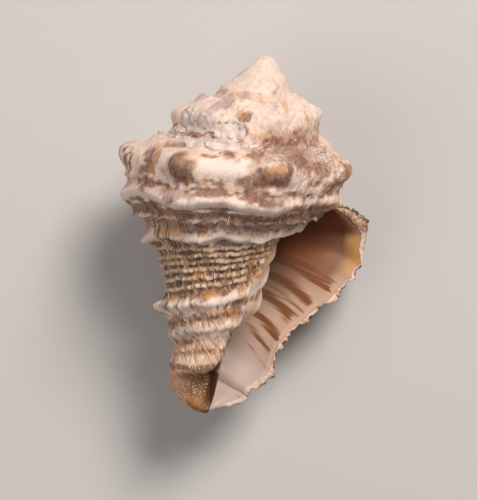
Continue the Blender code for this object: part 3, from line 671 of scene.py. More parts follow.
# The shell's colours.  Where the sea has rubbed it, on the spire, the knobs and the ribs, the lime is
# cream to white; the furrows and the knobs' tips keep their purple and dark brown stain.
# A stain is an azimuth, a place, its half width in degrees and in millimetres, and its strength.
BROWN_STAINS = [
    (-299, 33.6, 5, 1, 1.2), (-303, 31.6, 5, 0.6, 1.1), (-297, 37.2, 4, 1.2, 1.2),
    (-312, 35.6, 5, 0.5, 1), (-308, 40.2, 5, 0.6, 1), (-286, 45.4, 5, 1.4, 1.4), (-197, 43.8, 2, 2, 0.9),
    (-214, 44.2, 2.6, 1.8, 0.9), (-236, 43.4, 3, 1.6, 0.8), (-248, 42.6, 3, 1, 0.8),
    (-270, 45.4, 5, 0.6, 0.9), (-300, 49.4, 5, 0.8, 0.9), (-316, 33.2, 4, 0.6, 1),
    (-320, 35.8, 4, 0.5, 1), (-313, 38, 5, 0.6, 0.9), (-327, 30.9, 4, 0.5, 0.9),
    (-306, 44.8, 5, 0.9, 0.9), (-184, 11.5, 1.8, 3.2, 0.75), (-191, 12.4, 2.4, 2.8, 0.8),
    (-189, 13.2, 4.5, 0.8, 0.85), (-207, 11.5, 4, 4, 0.85), (-213, 12.6, 3.4, 3.6, 0.7),
    (-210, 13.7, 9, 0.5, 1), (-210, 15.2, 9, 0.6, 1.1), (-208, 16.3, 7, 0.5, 0.75),
    (-236, 11.6, 7.5, 2.6, 1), (-233, 10.6, 5, 1, 0.9), (-240, 13.3, 5, 0.9, 0.9),
    (-235, 18.2, 5, 0.5, 1), (-254, 13.6, 7, 0.7, 0.75), (-258, 15.3, 6, 0.8, 0.95),
    (-225, 15.3, 42, 0.28, 0.8), (-249, 15.3, 16, 0.35, 1), (-283, 12.3, 10.5, 1.7, 1),
    (-272, 13.8, 5, 2.2, 0.85), (-291, 10.8, 2.8, 2, 0.95), (-279, 15.8, 6, 1.5, 0.75),
    (-313, 12.9, 5.5, 1, 0.9), (-305, 18.4, 4, 0.7, 0.9), (-300, 15.2, 6, 0.9, 0.75),
    (-298, 20.4, 3.5, 1.8, 0.85), (-322, 20.5, 12, 2.2, 1), (-283, 16.9, 7, 0.9, 0.9),
    (-277, 11.2, 3, 1.4, 0.9), (-287, 12.6, 4, 0.7, 1), (-342, 11.5, 6, 1.8, 0.85),
    (-330, 14.6, 9, 1.1, 0.85), (-331, 12.9, 8, 0.7, 0.75), (-285, 45.2, 7, 1.3, 1),
    (-294, 45.6, 5, 0.9, 0.85), (-289, 35.6, 4, 1.2, 0.9), (-292, 39.3, 3.5, 1.6, 0.85),
    (-270, 39.6, 9, 0.6, 0.7), (-274, 41.3, 8, 0.6, 0.75), (-254, 41.2, 6, 0.8, 0.8),
    (-291, 33, 2, 2.4, 0.75), (-325, 45.3, 12, 1, 0.75), (-300, 47.8, 12, 0.5, 0.6),
    (-228, 51, 12, 0.6, 0.85), (-262, 52.6, 9, 0.4, 0.6), (-238, 52.9, 7, 0.35, 0.6),
    (-258, 6.5, 4, 2.2, 0.7), (-274, 5, 3.5, 5, 0.7), (-286, 3, 5, 3.6, 0.65), (-300, 6.5, 9, 4.5, 0.7),
    (-222, 5.5, 13, 1.8, 0.65), (-248, 8.1, 3, 0.7, 0.6), (-210, 7.9, 5, 0.8, 0.6),
    (-315, 9.6, 12, 1.6, 0.7), (-338, 10.2, 5, 1, 0.8), (-114, 11.5, 9, 2.4, 1), (-68, 12, 8, 1.9, 0.9),
    (-40, 11, 8, 3, 0.9), (-92, 14.8, 12, 1, 0.8), (-140, 13.6, 10, 0.8, 0.8), (-160, 12.5, 3, 3, 0.8),
    (-586, 16.6, 15, 0.9, 1), (-603, 15.6, 1.6, 1.2, 1), (-622, 9.9, 3.4, 1.5, 0.85),
    (-546, 13.2, 9, 0.7, 0.9), (-563, 9.4, 4, 0.8, 0.65), (-647, 15.3, 10, 1.9, 0.85),
    (-672, 13.6, 8, 0.7, 0.75), (-665, 15.6, 24, 1, 0.75), (-690, 16.6, 12, 0.8, 0.7),
    (-620, 12.6, 4, 0.9, 0.7), (-532, 16.4, 14, 0.8, 0.8), (-538, 6.9, 16, 0.7, 0.4)]
LILAC_STAINS = [
    (-235, 16.4, 9, 1.6, 1), (-283, 16.4, 11, 2, 1), (-300, 4.5, 14, 4.5, 0.9), (-286, 13.6, 8, 2.4, 0.8),
    (-594, 4.5, 9, 4.5, 1), (-648, 4, 5, 5, 0.45), (-262, 29.8, 12, 1, 0.6), (-225, 48.6, 26, 1.1, 0.6),
    (-196, 43.6, 7, 1.6, 0.8), (-655, 15.5, 14, 1.8, 0.8), (-271, 2, 6, 4, 0.7),
    (-240, 13.4, 12, 0.8, 0.6), (-552, 4, 18, 3.6, 0.5)]
ORANGE_STAINS = [
    (-305, 34.8, 5, 1.3, 1.2), (-311, 32.6, 5, 1, 1.1), (-302, 38.6, 5, 1, 1.1), (-316, 37.4, 4, 1.2, 1),
    (-292, 44.6, 5, 1, 1.1), (-241, 44.4, 5, 0.6, 0.9), (-206, 42.4, 5, 0.6, 0.9),
    (-262, 46, 8, 0.5, 0.9), (-326, 34.4, 5, 0.8, 1), (-320, 37.2, 5, 0.7, 1), (-331, 32.4, 4, 0.6, 0.9),
    (-318, 42.6, 6, 0.8, 0.8), (-328, 39.6, 5, 0.6, 0.8), (-214, 11.8, 2.6, 3, 1),
    (-283, 10.3, 3, 0.5, 1.2), (-227, 33.9, 9, 0.8, 0.9), (-222, 26.2, 10, 0.9, 0.9),
    (-240, 37.4, 12, 0.9, 0.8), (-255, 42.2, 8, 1, 0.9), (-286, 40.5, 4, 2.4, 0.6),
    (-290, 36.2, 5, 1.2, 0.9), (-322, 17.2, 7, 0.9, 1), (-280, 47.2, 6, 0.9, 0.8),
    (-345, 12.6, 6, 2, 0.9), (-617, 9.2, 4, 1.5, 0.75), (-660, 5.5, 4.5, 4, 0.75),
    (-608, 1.5, 5, 1.2, 0.6), (-683, 9.8, 4, 1.2, 0.9), (-200, 52, 26, 2.2, 0.55),
    (-250, 53.6, 30, 1.6, 0.5), (-316, 34.8, 14, 1.4, 0.8), (-320, 39.8, 14, 1.4, 0.8),
    (-322, 48.8, 14, 1.2, 0.7), (-252, 12.6, 3, 1, 0.6), (-301, 18.4, 8, 0.4, 0.7),
    (-226, 22.8, 8, 3, 0.5), (-740, 8, 10, 2, 0.6), (-335, 18.4, 9, 0.8, 0.9), (-195, 60, 22, 3.6, 1)]
WHITE_STAINS = [
    (-255, 10.9, 11, 2.6, 1.1), (-299, 11.2, 7, 2.4, 1.1), (-222, 11, 5.5, 2.4, 1),
    (-197, 10.6, 4.8, 2.6, 1), (-286, 14.7, 6.5, 0.6, 1.1), (-240, 29.1, 12, 1.2, 1),
    (-289, 29.4, 13, 1, 1), (-257, 44.3, 16, 1.4, 1), (-226, 44.4, 8, 1.1, 0.9),
    (-203, 43.9, 9, 1.5, 0.9), (-181, 43.4, 6, 1.3, 1), (-304, 41.8, 10, 3.4, 1.1),
    (-232, 14.6, 6, 0.6, 0.9), (-264, 9.4, 4, 1.6, 1), (-281, 49.2, 6, 0.9, 1),
    (-215, 49.2, 16, 0.9, 0.9), (-305, 37.2, 12, 1, 0.9), (-320, 27, 12, 0.8, 0.9),
    (-254, 3.5, 7, 4, 0.7), (-178, 10.5, 6, 2.2, 0.7), (-240, 54.4, 26, 0.7, 0.7)]
PALE_STAINS = [
    (-307, 36.4, 6, 0.7, 1.2), (-313, 34, 4, 0.6, 1.1), (-309, 41.6, 7, 1.2, 1.1),
    (-299, 46.6, 5, 1, 1.1), (-293, 48.6, 4, 0.9, 1.1), (-299, 51.6, 4, 0.8, 1),
    (-287, 14.6, 6, 0.45, 1.2), (-283, 13.9, 3, 0.3, 1), (-229, 11.4, 1.6, 2, 0.9),
    (-240, 14.6, 8, 0.35, 1.1), (-262, 14.5, 7, 0.35, 1.1), (-212, 14.4, 9, 0.3, 1.1),
    (-300, 14.2, 7, 0.4, 1), (-322, 11.5, 9, 0.3, 1), (-330, 16.2, 9, 0.35, 1), (-277, 17.8, 4, 0.5, 0.9),
    (-318, 22.6, 12, 0.4, 0.9), (-188, 12, 1.2, 2.6, 0.9)]

# How dark the furrows are at each place, and how much of that is left at each azimuth below the waist
FURROW_DARK = [(0, 0), (14.6, 0), (15.2, 0.4), (15.8, 0), (18.2, 0), (19.0, 0.75), (21.4, 0.85),
               (22.0, 0.3), (22.8, 0.3), (23.2, 0.6), (25.0, 0.5), (26.0, 0.15), (28.7, 0.15), (29.3, 0.95),
               (42.0, 0.95), (42.9, 0.1), (45.4, 0.1), (46.2, 0.5), (47.8, 0.45), (48.6, 0.1),
               (50.0, 0.1), (50.7, 0.35), (51.5, 0.2), (52.4, 0.0), (55.1, 0.1), (55.5, 0.8),
               (56.1, 0.8), (56.7, 0), (75, 0)]
FURROW_AROUND = [(-345, 0.4), (-300, 0.35), (-286, 0.6), (-270, 0.85), (-252, 0.8), (-246, 1.0),
                 (-200, 1.0), (-180, 0.9), (0, 0.9)]
FINE_RIBS = (28.5, 30.5, 41.0, 43.5)
BEADS_AROUND = [(-345, 1.0), (-250, 1.0), (-235, 0.75), (-180, 0.7), (0, 0.7)]

# White crests of ribs: place, half width above and below, dip under the knobs, strength, unevenness.
# Rows of dark spots between the ribs: place, half width, dip, degrees that a spot takes, strength
WHITE_RIBS = [(17.0, 0.75, 1.05, 0.5, 1.15, 0.5), (27.2, 0.95, 1.5, 0.5, 1.2, 0.5),
              (49.2, 0.8, 0.7, 0.0, 0.8, 1.6), (43.9, 1.5, 1.3, 0.0, 0.9, 1.6),
              (22.4, 0.5, 0.5, 0.15, 1.0, 1.2), (19.5, 0.3, 0.3, 0.3, 0.7, 1.5)]
SPOT_ROWS = [(20.8, 0.9, 0.3, 5.0, 1.0), (18.7, 0.35, 0.5, 6.0, 0.8), (24.3, 0.7, 0.2, 4.0, 0.85),
             (25.7, 0.4, 0.3, 3.4, 0.7), (28.9, 0.4, 0.4, 5.0, 0.9), (46.9, 0.5, 0.0, 4.0, 0.7),
             (55.8, 0.35, 0.0, 2.0, 0.9), (14.7, 0.22, 0.5, 9.0, 0.7), (15.7, 0.22, 0.5, 9.0, 0.7)]

# Brown bands inside the lip: place, half width, strength, and how far inside they have faded
BANDS = [(25.9, 1.0, 0.75, 150), (27.2, 0.7, 1.0, 150), (30.8, 0.85, 0.95, 130), (32.6, 0.4, 0.6, 100),
         (34.4, 0.95, 1.0, 110), (37.6, 0.8, 0.85, 60), (40.2, 0.6, 0.5, 50), (43.0, 0.5, 0.35, 40),
         (59.6, 0.3, 0.4, 30)]
BAND_EDGE = (2.6, 6.0)
BAND_DRIFT = 1.6
BAND_ENDS = 2.4

# Places, azimuths and depths inside the mouth over which a colour comes or goes
CALLUS_STAIN = (18.6, 21.0)
CALLUS_RIM = (-343.0, -331.0)
FOOT_STAIN = (56.0, 56.9)
HOLLOW_LEFT = (-204.0, -226.0)
HOLLOW_RIGHT = (-290.0, -284.0)
HOLLOW_BELOW = (65.5, 69.0)
HOLLOW_SHADE = (-238.0, -268.0)
SPIRE_PALE = (-530.0, -560.0)
SPIRE_STAIN = (-560.0, -600.0)
WHORL_WORN = (-400.0, -380.0)
FURROW_DIP = (27.0, 31.0)
CORNER_PLACES = (3.0, 5.0, 11.4, 12.4)
CORNER_INSIDE = (1.2, 2.6)
CORNER_AZIMUTHS = (-52.0, -40.0)
PURPLE_PLACES = (27.0, 36.0)
PURPLE_INSIDE = (12.0, 26.0)
DEEP_PLACES = (23.0, 30.0)
YELLOW_PLACES = (11.6, 13.4, 18.0, 26.0)
YELLOW_INSIDE = (0.2, 2.2, 3.5, 8.5)
CANAL_STAIN = (36.0, 46.0)


def stains(azimuth, place, marks):
    """Strongest of the stains here: each is 1 in the middle and falls off over its half widths, and
    cloudy noise pulls it out of shape."""
    value = np.zeros(azimuth.shape)
    warped = azimuth + 3.5*lumps(azimuth/6.0, place/1.6, 30) + 3.0*lumps(azimuth/2.6, place/0.8, 37)
    moved = place + 0.65*lumps(azimuth/7.0, place/2.0, 31) + 0.5*lumps(azimuth/2.8, place/0.9, 38)
    for at, row, degrees, wide, strength in marks:
        near = ((warped - at)/degrees)**2 + ((moved - row)/wide)**2
        value = np.maximum(value, strength*np.exp(-0.8*near**1.3))
    return value


def shell_marks(azimuth, place, inside):
    """Named values for each vertex, from its azimuth, its place and its depth inside the mouth."""
    depth = smooth_section(azimuth, place)[1]
    outer = (inside <= 0)*1.0
    callus = callus_mask(azimuth, depth, 3.0)*smooth(*CALLUS_STAIN, place)*outer
    foot = smooth(*FOOT_STAIN, place + 0.5*lumps(azimuth/4.0, place, 32))
    hollow = foot*smooth(*HOLLOW_LEFT, azimuth)*smooth(*HOLLOW_RIGHT, azimuth)
    hollow = hollow*(1 - smooth(*HOLLOW_BELOW, place))*outer
    open_part = (1 - callus)*outer
    worn = smooth(*WHORL_WORN, azimuth)
    dip = knobs(azimuth, FOLD_DEGREES)
    level = place - 0.5*dip*(1 - smooth(*FURROW_DIP, place)) - RIB_WANDER*lumps(azimuth/RIB_CHANGES, place, 3)
    fine = smooth(*FINE_RIBS[:2], place)*(1 - smooth(*FINE_RIBS[2:], place))
    crest = np.zeros(azimuth.shape)
    for at, high, width, dips in RIBS:
        crest = np.maximum(crest, rib(place, azimuth, at, width, dips))
    furrow = np.interp(level, *np.array(FURROW_DARK).T)
    furrow = furrow*(1 + fine*(np.interp(azimuth, *np.array(FURROW_AROUND).T) - 1))
    furrow = furrow*(1 - 0.95*crest*fine)
    rough = roughness(azimuth, place)*(azimuth < -60)
    white = stains(azimuth, place, WHITE_STAINS)
    for at, above, below, dips, strength, changes in WHITE_RIBS:
        away = rib_place(place, azimuth, at, dips)
        uneven = 0.85 + changes*lumps(azimuth/5.0, at + 0*azimuth, 34)
        white = np.maximum(white, strength*uneven*bump(away, 0, np.where(away < 0, above, below))*worn)
    spots = np.zeros(azimuth.shape)
    for at, wide, dips, degrees, strength in SPOT_ROWS:
        row = bump(rib_place(place, azimuth, at, dips), 0, wide)
        spots = np.maximum(spots, strength*row*smooth(-0.2, 0.12, lumps(azimuth/degrees, at + place/3.0, 36)))
    beads = np.clip(0.55 + 2.0*lumps(growth_coordinate(azimuth, place)/2.2, place/0.9, 33), 0, 1.25)
    white = np.maximum(white, 0.8*beads*crest*fine*worn*np.interp(azimuth, *np.array(BEADS_AROUND).T))
    white = np.maximum(white, 0.5*smooth(*SPIRE_PALE, azimuth)*(1 - smooth(11.0, 15.0, place)))
    wall = (inside > 0)*(azimuth > -300)
    band = np.zeros(azimuth.shape)
    for at, wide, strength, fades in BANDS:
        here = bump(place + BAND_DRIFT*smooth(0, 40, inside), at, wide)*(1 - smooth(0.5*fades, fades, inside))
        band = np.maximum(band, strength*here)
    lip = smooth(*BAND_EDGE, inside + BAND_ENDS*lumps(inside/30.0, place/0.45, 35))
    corner = smooth(*CORNER_PLACES[:2], place)*(1 - smooth(*CORNER_PLACES[2:], place))
    within_lip = 1 - smooth(*CORNER_INSIDE, inside)
    corner = corner*np.where(inside > 0, within_lip, smooth(*CORNER_AZIMUTHS, azimuth))
    # The mouth's top and its depths darkened: partly the lining's own brown, partly painted shade under the
    # whorl above
    purple = (1 - smooth(*PURPLE_PLACES, place))*smooth(*PURPLE_INSIDE, inside)
    dark = (1 - smooth(*DEEP_PLACES, place))*smooth(0.6 + 5.0*smooth(12.0, 15.0, place), 9.0, inside)
    yellow = smooth(*YELLOW_PLACES[:2], place)*(1 - smooth(*YELLOW_PLACES[2:], place))
    yellow = yellow*smooth(*YELLOW_INSIDE[:2], inside)*(1 - smooth(*YELLOW_INSIDE[2:], inside))
    return {
        "furrow": furrow*open_part*worn*(1 - hollow),
        "fine": fine,
        "low": smooth(18.0, 20.0, place)*worn,
        "spire": smooth(*SPIRE_STAIN, azimuth),
        "callus": callus,
        "gap": np.clip(fine*(1.1 - 1.5*crest), 0, 1)*open_part*worn,
        "streaky": np.maximum(fine, 0.12 + 0.88*bump(azimuth, -222.0, 20.0)*smooth(17.0, 19.0, place)),
        "brown": np.maximum(stains(azimuth, place, BROWN_STAINS)*outer, spots*open_part*worn)*(1 - hollow),
        "lilac": np.maximum(stains(azimuth, place, LILAC_STAINS)*outer,
                            0.8*bump(level, 23.9, 1.0)*open_part*worn)*(1 - hollow),
        "orange": stains(azimuth, place, ORANGE_STAINS)*outer*(1 - hollow),
        "white": white*outer*(1 - hollow),
        "pale": stains(azimuth, place, PALE_STAINS)*outer,
        "rough": np.clip(rough, 0, 1)*open_part,
        "corner": corner,
        "hollow": hollow,
        # painted shade in the hollow: dark towards its right side, less so low down
        "hollow_painted_shade": smooth(*HOLLOW_SHADE, azimuth)*(1 - 0.6*smooth(62.0, 64.0, place)),
        "smooth": np.where(outer > 0, callus, smooth(0.2, 1.2, inside)),
        "band": band*wall*lip,
        # the lining's brown and painted shade at the top of the mouth and further in
        "deep": np.maximum(dark, 0.75*purple)*(inside > 0),
        "grey": bump(place, 20.0, 5.0)*bump(inside, 10.0, 7.0)*(inside > 0)*wall,
        "yellow": yellow*wall,
        "callus_edge": callus*smooth(*CALLUS_RIM, azimuth),
        "canal": smooth(*CANAL_STAIN, place),
    }


def srgb(red, green, blue):
    """Linear colour of a colour as seen, from 0 to 255."""
    seen = np.array([red, green, blue])/255
    linear = np.where(seen <= 0.04045, seen/12.92, ((seen + 0.055)/1.055)**2.4)
    return (*linear.tolist(), 1.0)


CREAM = srgb(226, 194, 172)
PINK_CREAM = srgb(228, 200, 184)
TAN = srgb(194, 146, 106)
WHITE_LIME = srgb(236, 214, 198)
FURROW_BROWN = srgb(142, 110, 92)
BEAD_CREAM = srgb(226, 186, 144)
FURROW_BLACK = srgb(52, 30, 20)
FURROW_PALE = srgb(218, 180, 146)
WARM_BROWN = srgb(168, 112, 62)
PURPLE_BROWN = srgb(134, 96, 84)
RED_BROWN = srgb(122, 72, 56)
DARK_BROWN = srgb(58, 36, 28)
LILAC_GREY = srgb(166, 140, 134)
ORANGE_BROWN = srgb(204, 144, 84)
HOLLOW_BROWN = srgb(164, 112, 66)
HOLLOW_GREY = srgb(160, 112, 72)
# painted shade deep in the hollow at the foot
HOLLOW_PAINTED_SHADE = srgb(74, 40, 22)
PORCELAIN = srgb(200, 166, 142)
PORCELAIN_CANAL = srgb(190, 168, 156)
BAND_BROWN = srgb(128, 74, 40)
# partly the lining's brown, partly painted shade at the top of the mouth
MOUTH_BROWN_AND_SHADE = srgb(134, 76, 42)
CALLUS_CREAM = srgb(246, 218, 192)
CALLUS_TAN = srgb(224, 178, 128)
MOUTH_GREY = srgb(156, 122, 102)
LIP_YELLOW = srgb(216, 160, 84)
CORNER_TAN = srgb(176, 132, 92)


def socket(tree, where, value):
    """Put a number, a colour or another node's output into an input."""
    if isinstance(value, bpy.types.NodeSocket):
        tree.links.new(value, where)
    else:
        where.default_value = value


def add(tree, kind, settings=None, **inputs):
    """A node of a kind with its settings and inputs; an input is named by its label, spaces as _."""
    made = tree.nodes.new(kind)
    for name, value in (settings or {}).items():
        setattr(made, name, value)
    for name, value in inputs.items():
        where = int(name[1:]) if name[0] == "i" and name[1:].isdigit() else name.replace("_", " ")
        socket(tree, made.inputs[where], value)
    return made


def blend(tree, share, first, second):
    """Colour between first and second, by share."""
    made = add(tree, "ShaderNodeMix", {"data_type": "RGBA"}, i0=share, i6=first, i7=second)
    return made.outputs[2]


def maths(tree, operation, first, second=0.0, third=0.0, clamp=False):
    """One sum on two or three numbers."""
    settings = {"operation": operation, "use_clamp": clamp}
    return add(tree, "ShaderNodeMath", settings, i0=first, i1=second, i2=third).outputs[0]


def edge(tree, value, start, end):
    """0 before start, 1 after end, with a smooth rise between them."""
    settings = {"interpolation_type": "SMOOTHSTEP"}
    return add(tree, "ShaderNodeMapRange", settings, i0=value, i1=start, i2=end).outputs[0]


def mark(tree, name):
    """The value that a piece's mesh holds under this name."""
    return add(tree, "ShaderNodeAttribute", {"attribute_name": name}).outputs["Fac"]


def noise(tree, where, scale, detail=3.0, rough=0.55):
    """Cloudy noise, 0 to 1, at so many lumps to the unit."""
    made = add(tree, "ShaderNodeTexNoise", Vector=where, Scale=scale, Detail=detail, Roughness=rough)
    return made.outputs["Fac"]


def new_group(name, inputs, outputs):
    """An empty node group with named inputs (name, kind, value) and outputs (name, kind)."""
    group = bpy.data.node_groups.new(name, "ShaderNodeTree")
    for label, kind, value in inputs:
        made = group.interface.new_socket(label, in_out="INPUT", socket_type=kind)
        if value is not None:
            made.default_value = value
    for label, kind in outputs:
        group.interface.new_socket(label, in_out="OUTPUT", socket_type=kind)
    return group, group.nodes.new("NodeGroupInput").outputs, group.nodes.new("NodeGroupOutput").inputs


def ragged_group():
    """A soft mask made ragged: noise is added to it, and the sum is cut off sharply."""
    inputs = [("Mask", "NodeSocketFloat", 0.0), ("Vector", "NodeSocketVector", None),
              ("Scale", "NodeSocketFloat", 1500.0), ("Raggedness", "NodeSocketFloat", 0.5),
              ("Softness", "NodeSocketFloat", 0.12)]
    group, given, out = new_group("ragged edge", inputs, [("Mask", "NodeSocketFloat")])
    cloud = maths(group, "SUBTRACT", noise(group, given["Vector"], given["Scale"], 4.0), 0.5)
    value = maths(group, "MULTIPLY_ADD", cloud, given["Raggedness"], given["Mask"])
    low = maths(group, "SUBTRACT", 0.42, given["Softness"])
    high = maths(group, "ADD", 0.42, given["Softness"])
    cut = edge(group, value, low, high)
    there = edge(group, given["Mask"], 0.02, 0.12)
    group.links.new(maths(group, "MULTIPLY", cut, there), out["Mask"])
    return group


def growth_streak_group():
    """Streaks along the growth lines: noise that is stretched along them and cut off sharply."""
    inputs = [("Growth", "NodeSocketVector", None), ("Across", "NodeSocketFloat", 0.4),
              ("Along", "NodeSocketFloat", 0.3)]
    outputs = [("Streak", "NodeSocketFloat"), ("Height", "NodeSocketFloat")]
    group, given, out = new_group("growth streaks", inputs, outputs)
    scale = add(group, "ShaderNodeCombineXYZ", X=given["Across"], Y=given["Along"]).outputs[0]
    where = add(group, "ShaderNodeVectorMath", {"operation": "MULTIPLY"}, i0=given["Growth"], i1=scale)
    cloud = noise(group, where.outputs[0], 1.0, 2.0, 0.6)
    group.links.new(edge(group, cloud, 0.45, 0.58), out["Streak"])
    group.links.new(cloud, out["Height"])
    return group


ragged = ragged_group()
growth_streaks = growth_streak_group()


def new_material(name):
    """A material with its node tree and its shader."""
    material = bpy.data.materials.new(name)
    material.use_nodes = True
    return material, material.node_tree, material.node_tree.nodes["Principled BSDF"]


def use(tree, group, output, **inputs):
    """Place a group with its own values, and take one of its outputs."""
    return add(tree, "ShaderNodeGroup", {"node_tree": group}, **inputs).outputs[output]


def layer(tree, colour, above, mask, share=1.0):
    """Lay a colour over another one where its mask is 1."""
    return blend(tree, maths(tree, "MULTIPLY", mask, share), colour, above)


def shell_material():
    """Weathered lime outside, porcelain in the mouth: stains and furrows laid over cream, each with a
    ragged edge, and the furrows crossed by dark and pale growth streaks; painted shade darkens the top of
    the mouth and the hollow at the foot."""
    material, tree, shader = new_material("weathered_shell")
    place = add(tree, "ShaderNodeTexCoord").outputs["Object"]
    growth_uv = add(tree, "ShaderNodeUVMap", {"uv_map": "growth"}).outputs[0]

    cloud = noise(tree, place, 220.0, 4.0)
    patch = noise(tree, place, 650.0, 4.0, 0.6)
    fine = noise(tree, place, 1900.0, 4.0, 0.65)
    broad_streak = use(tree, growth_streaks, "Streak", Growth=growth_uv, Across=0.24, Along=0.27)
    streak = use(tree, growth_streaks, "Streak", Growth=growth_uv, Across=0.42, Along=0.62)
    thin = add(tree, "ShaderNodeGroup", {"node_tree": growth_streaks}, Growth=growth_uv, Across=0.95,
               Along=0.7)
    thin_streak, thin_height = thin.outputs["Streak"], thin.outputs["Height"]

    def spread(name, scale, ragged_by, softness):
        """A mark of the mesh with its edge made ragged."""
        return use(tree, ragged, 0, Mask=mark(tree, name), Vector=place, Scale=scale, Raggedness=ragged_by,
                   Softness=softness)

    # Cream lime with tan growth streaks
    colour = blend(tree, edge(tree, cloud, 0.38, 0.62), CREAM, PINK_CREAM)
    low = mark(tree, "low")
    tan = maths(tree, "MULTIPLY", maths(tree, "MULTIPLY", streak, low), edge(tree, patch, 0.3, 0.55))
    colour = layer(tree, colour, TAN, tan, 0.75)
    colour = layer(tree, colour, TAN, edge(tree, patch, 0.54, 0.7), 0.6)
    colour = layer(tree, colour, LILAC_GREY, edge(tree, cloud, 0.56, 0.7), 0.3)
    spire = mark(tree, "spire")
    colour = layer(tree, colour, TAN, maths(tree, "MULTIPLY", spire, edge(tree, patch, 0.46, 0.6)), 0.65)
    grey = maths(tree, "MULTIPLY", spire, edge(tree, cloud, 0.46, 0.58))
    colour = layer(tree, colour, LILAC_GREY, grey, 0.55)
    colour = layer(tree, colour, TAN, spire, 0.12)

    # The smooth callus and the mouth: cream, and deep brown at the top and further in, which is partly the
    # lining's own brown and partly painted shade under the whorl above; with soft brown bands
    glossy = mark(tree, "smooth")
    porcelain = blend(tree, mark(tree, "canal"), PORCELAIN, PORCELAIN_CANAL)
    for above, name, share in ((CALLUS_CREAM, "callus", 0.95), (CALLUS_TAN, "callus_edge", 0.6),
                               (MOUTH_BROWN_AND_SHADE, "deep", 0.95)):
        porcelain = layer(tree, porcelain, above, mark(tree, name), share)
    strand = use(tree, growth_streaks, "Height", Growth=growth_uv, Across=0.008, Along=1.9)
    wave = maths(tree, "MULTIPLY_ADD", maths(tree, "SUBTRACT", strand, 0.5), 1.9, mark(tree, "band"))
    banded = maths(tree, "MULTIPLY", edge(tree, wave, 0.1, 0.8), edge(tree, mark(tree, "band"), 0.02, 0.3))
    porcelain = layer(tree, porcelain, BAND_BROWN, banded, 0.95)
    porcelain = layer(tree, porcelain, MOUTH_GREY, mark(tree, "grey"), 0.8)
    porcelain = layer(tree, porcelain, LIP_YELLOW, mark(tree, "yellow"), 0.9)
    colour = blend(tree, glossy, colour, porcelain)

    # Furrows: brown, crossed by dark and pale streaks, warmer between the fine ribs
    warm = maths(tree, "MULTIPLY", mark(tree, "fine"), edge(tree, patch, 0.36, 0.6))
    furrow_colour = blend(tree, maths(tree, "MULTIPLY", warm, 0.9), FURROW_BROWN, WARM_BROWN)
    streaky = mark(tree, "streaky")
    furrow_colour = layer(tree, furrow_colour, FURROW_PALE, maths(tree, "MULTIPLY", streak, streaky), 0.6)
    blotch = edge(tree, patch, 0.46, 0.62)
    dark = maths(tree, "MULTIPLY", broad_streak, streaky)
    dark = maths(tree, "MAXIMUM", dark, maths(tree, "MULTIPLY", blotch, 0.7))
    gap = maths(tree, "MULTIPLY", mark(tree, "gap"), edge(tree, fine, 0.36, 0.56))
    dark = maths(tree, "MAXIMUM", dark, gap)
    furrow_colour = layer(tree, furrow_colour, FURROW_BLACK, dark, 0.88)
    hatch = maths(tree, "MULTIPLY", thin_streak, maths(tree, "MULTIPLY", streaky, 0.55))
    furrow_colour = blend(tree, hatch, furrow_colour, FURROW_BLACK)
    furrow = spread("furrow", 1100.0, 0.9, 0.24)
    colour = layer(tree, colour, furrow_colour, furrow, 0.93)
    white = spread("white", 800.0, 0.7, 0.28)
    lime = blend(tree, maths(tree, "MULTIPLY", mark(tree, "fine"), 0.85), WHITE_LIME, BEAD_CREAM)
    colour = layer(tree, colour, lime, white, 0.93)

    # Rough ramps hold grey and brown dirt between their lamellae
    dirt = maths(tree, "MULTIPLY", spread("rough", 900.0, 1.3, 0.3), edge(tree, thin_height, 0.62, 0.4))
    dirt_colour = blend(tree, edge(tree, patch, 0.4, 0.6), FURROW_BROWN, LILAC_GREY)
    cracks = maths(tree, "MULTIPLY", thin_streak, edge(tree, fine, 0.4, 0.6))
    dirt_colour = layer(tree, dirt_colour, DARK_BROWN, cracks, 0.8)
    colour = layer(tree, colour, dirt_colour, dirt, 0.85)

    lilac = spread("lilac", 700.0, 0.8, 0.3)
    colour = layer(tree, colour, LILAC_GREY, lilac, 0.75)
    rim = maths(tree, "MULTIPLY", edge(tree, mark(tree, "brown"), 0.08, 0.32), edge(tree, patch, 0.38, 0.56))
    colour = layer(tree, colour, ORANGE_BROWN, rim, 0.35)
    brown = spread("brown", 750.0, 0.9, 0.34)
    brown_colour = blend(tree, edge(tree, patch, 0.42, 0.6), PURPLE_BROWN, RED_BROWN)
    brown_colour = layer(tree, brown_colour, DARK_BROWN, edge(tree, fine, 0.46, 0.66), 0.7)
    brown_colour = layer(tree, brown_colour, TAN, streak, 0.3)
    colour = layer(tree, colour, brown_colour, brown, 0.88)
    orange = spread("orange", 900.0, 1.0, 0.35)
    colour = layer(tree, colour, ORANGE_BROWN, orange, 0.7)
    colour = layer(tree, colour, PINK_CREAM, spread("pale", 900.0, 0.8, 0.3), 0.85)

    # The hollow at the foot: golden to grey brown on the left; on the right, painted shade darkens it, most
    # under the ribs' ledge
    hollow_colour = blend(tree, edge(tree, patch, 0.35, 0.65), HOLLOW_BROWN, HOLLOW_GREY)
    hollow_colour = layer(tree, hollow_colour, HOLLOW_PAINTED_SHADE, mark(tree, "hollow_painted_shade"), 0.9)
    colour = blend(tree, mark(tree, "hollow"), colour, hollow_colour)

    # The lip's crusty upper corner
    corner_colour = blend(tree, edge(tree, patch, 0.44, 0.6), CORNER_TAN, CREAM)
    corner_colour = layer(tree, corner_colour, DARK_BROWN, edge(tree, fine, 0.48, 0.62), 0.75)
    colour = layer(tree, colour, corner_colour, spread("corner", 900.0, 0.6, 0.3), 0.95)
    tree.links.new(colour, shader.inputs["Base Color"])

    roughness_value = maths(tree, "MULTIPLY_ADD", glossy, -0.30, 0.66)
    tree.links.new(roughness_value, shader.inputs["Roughness"])

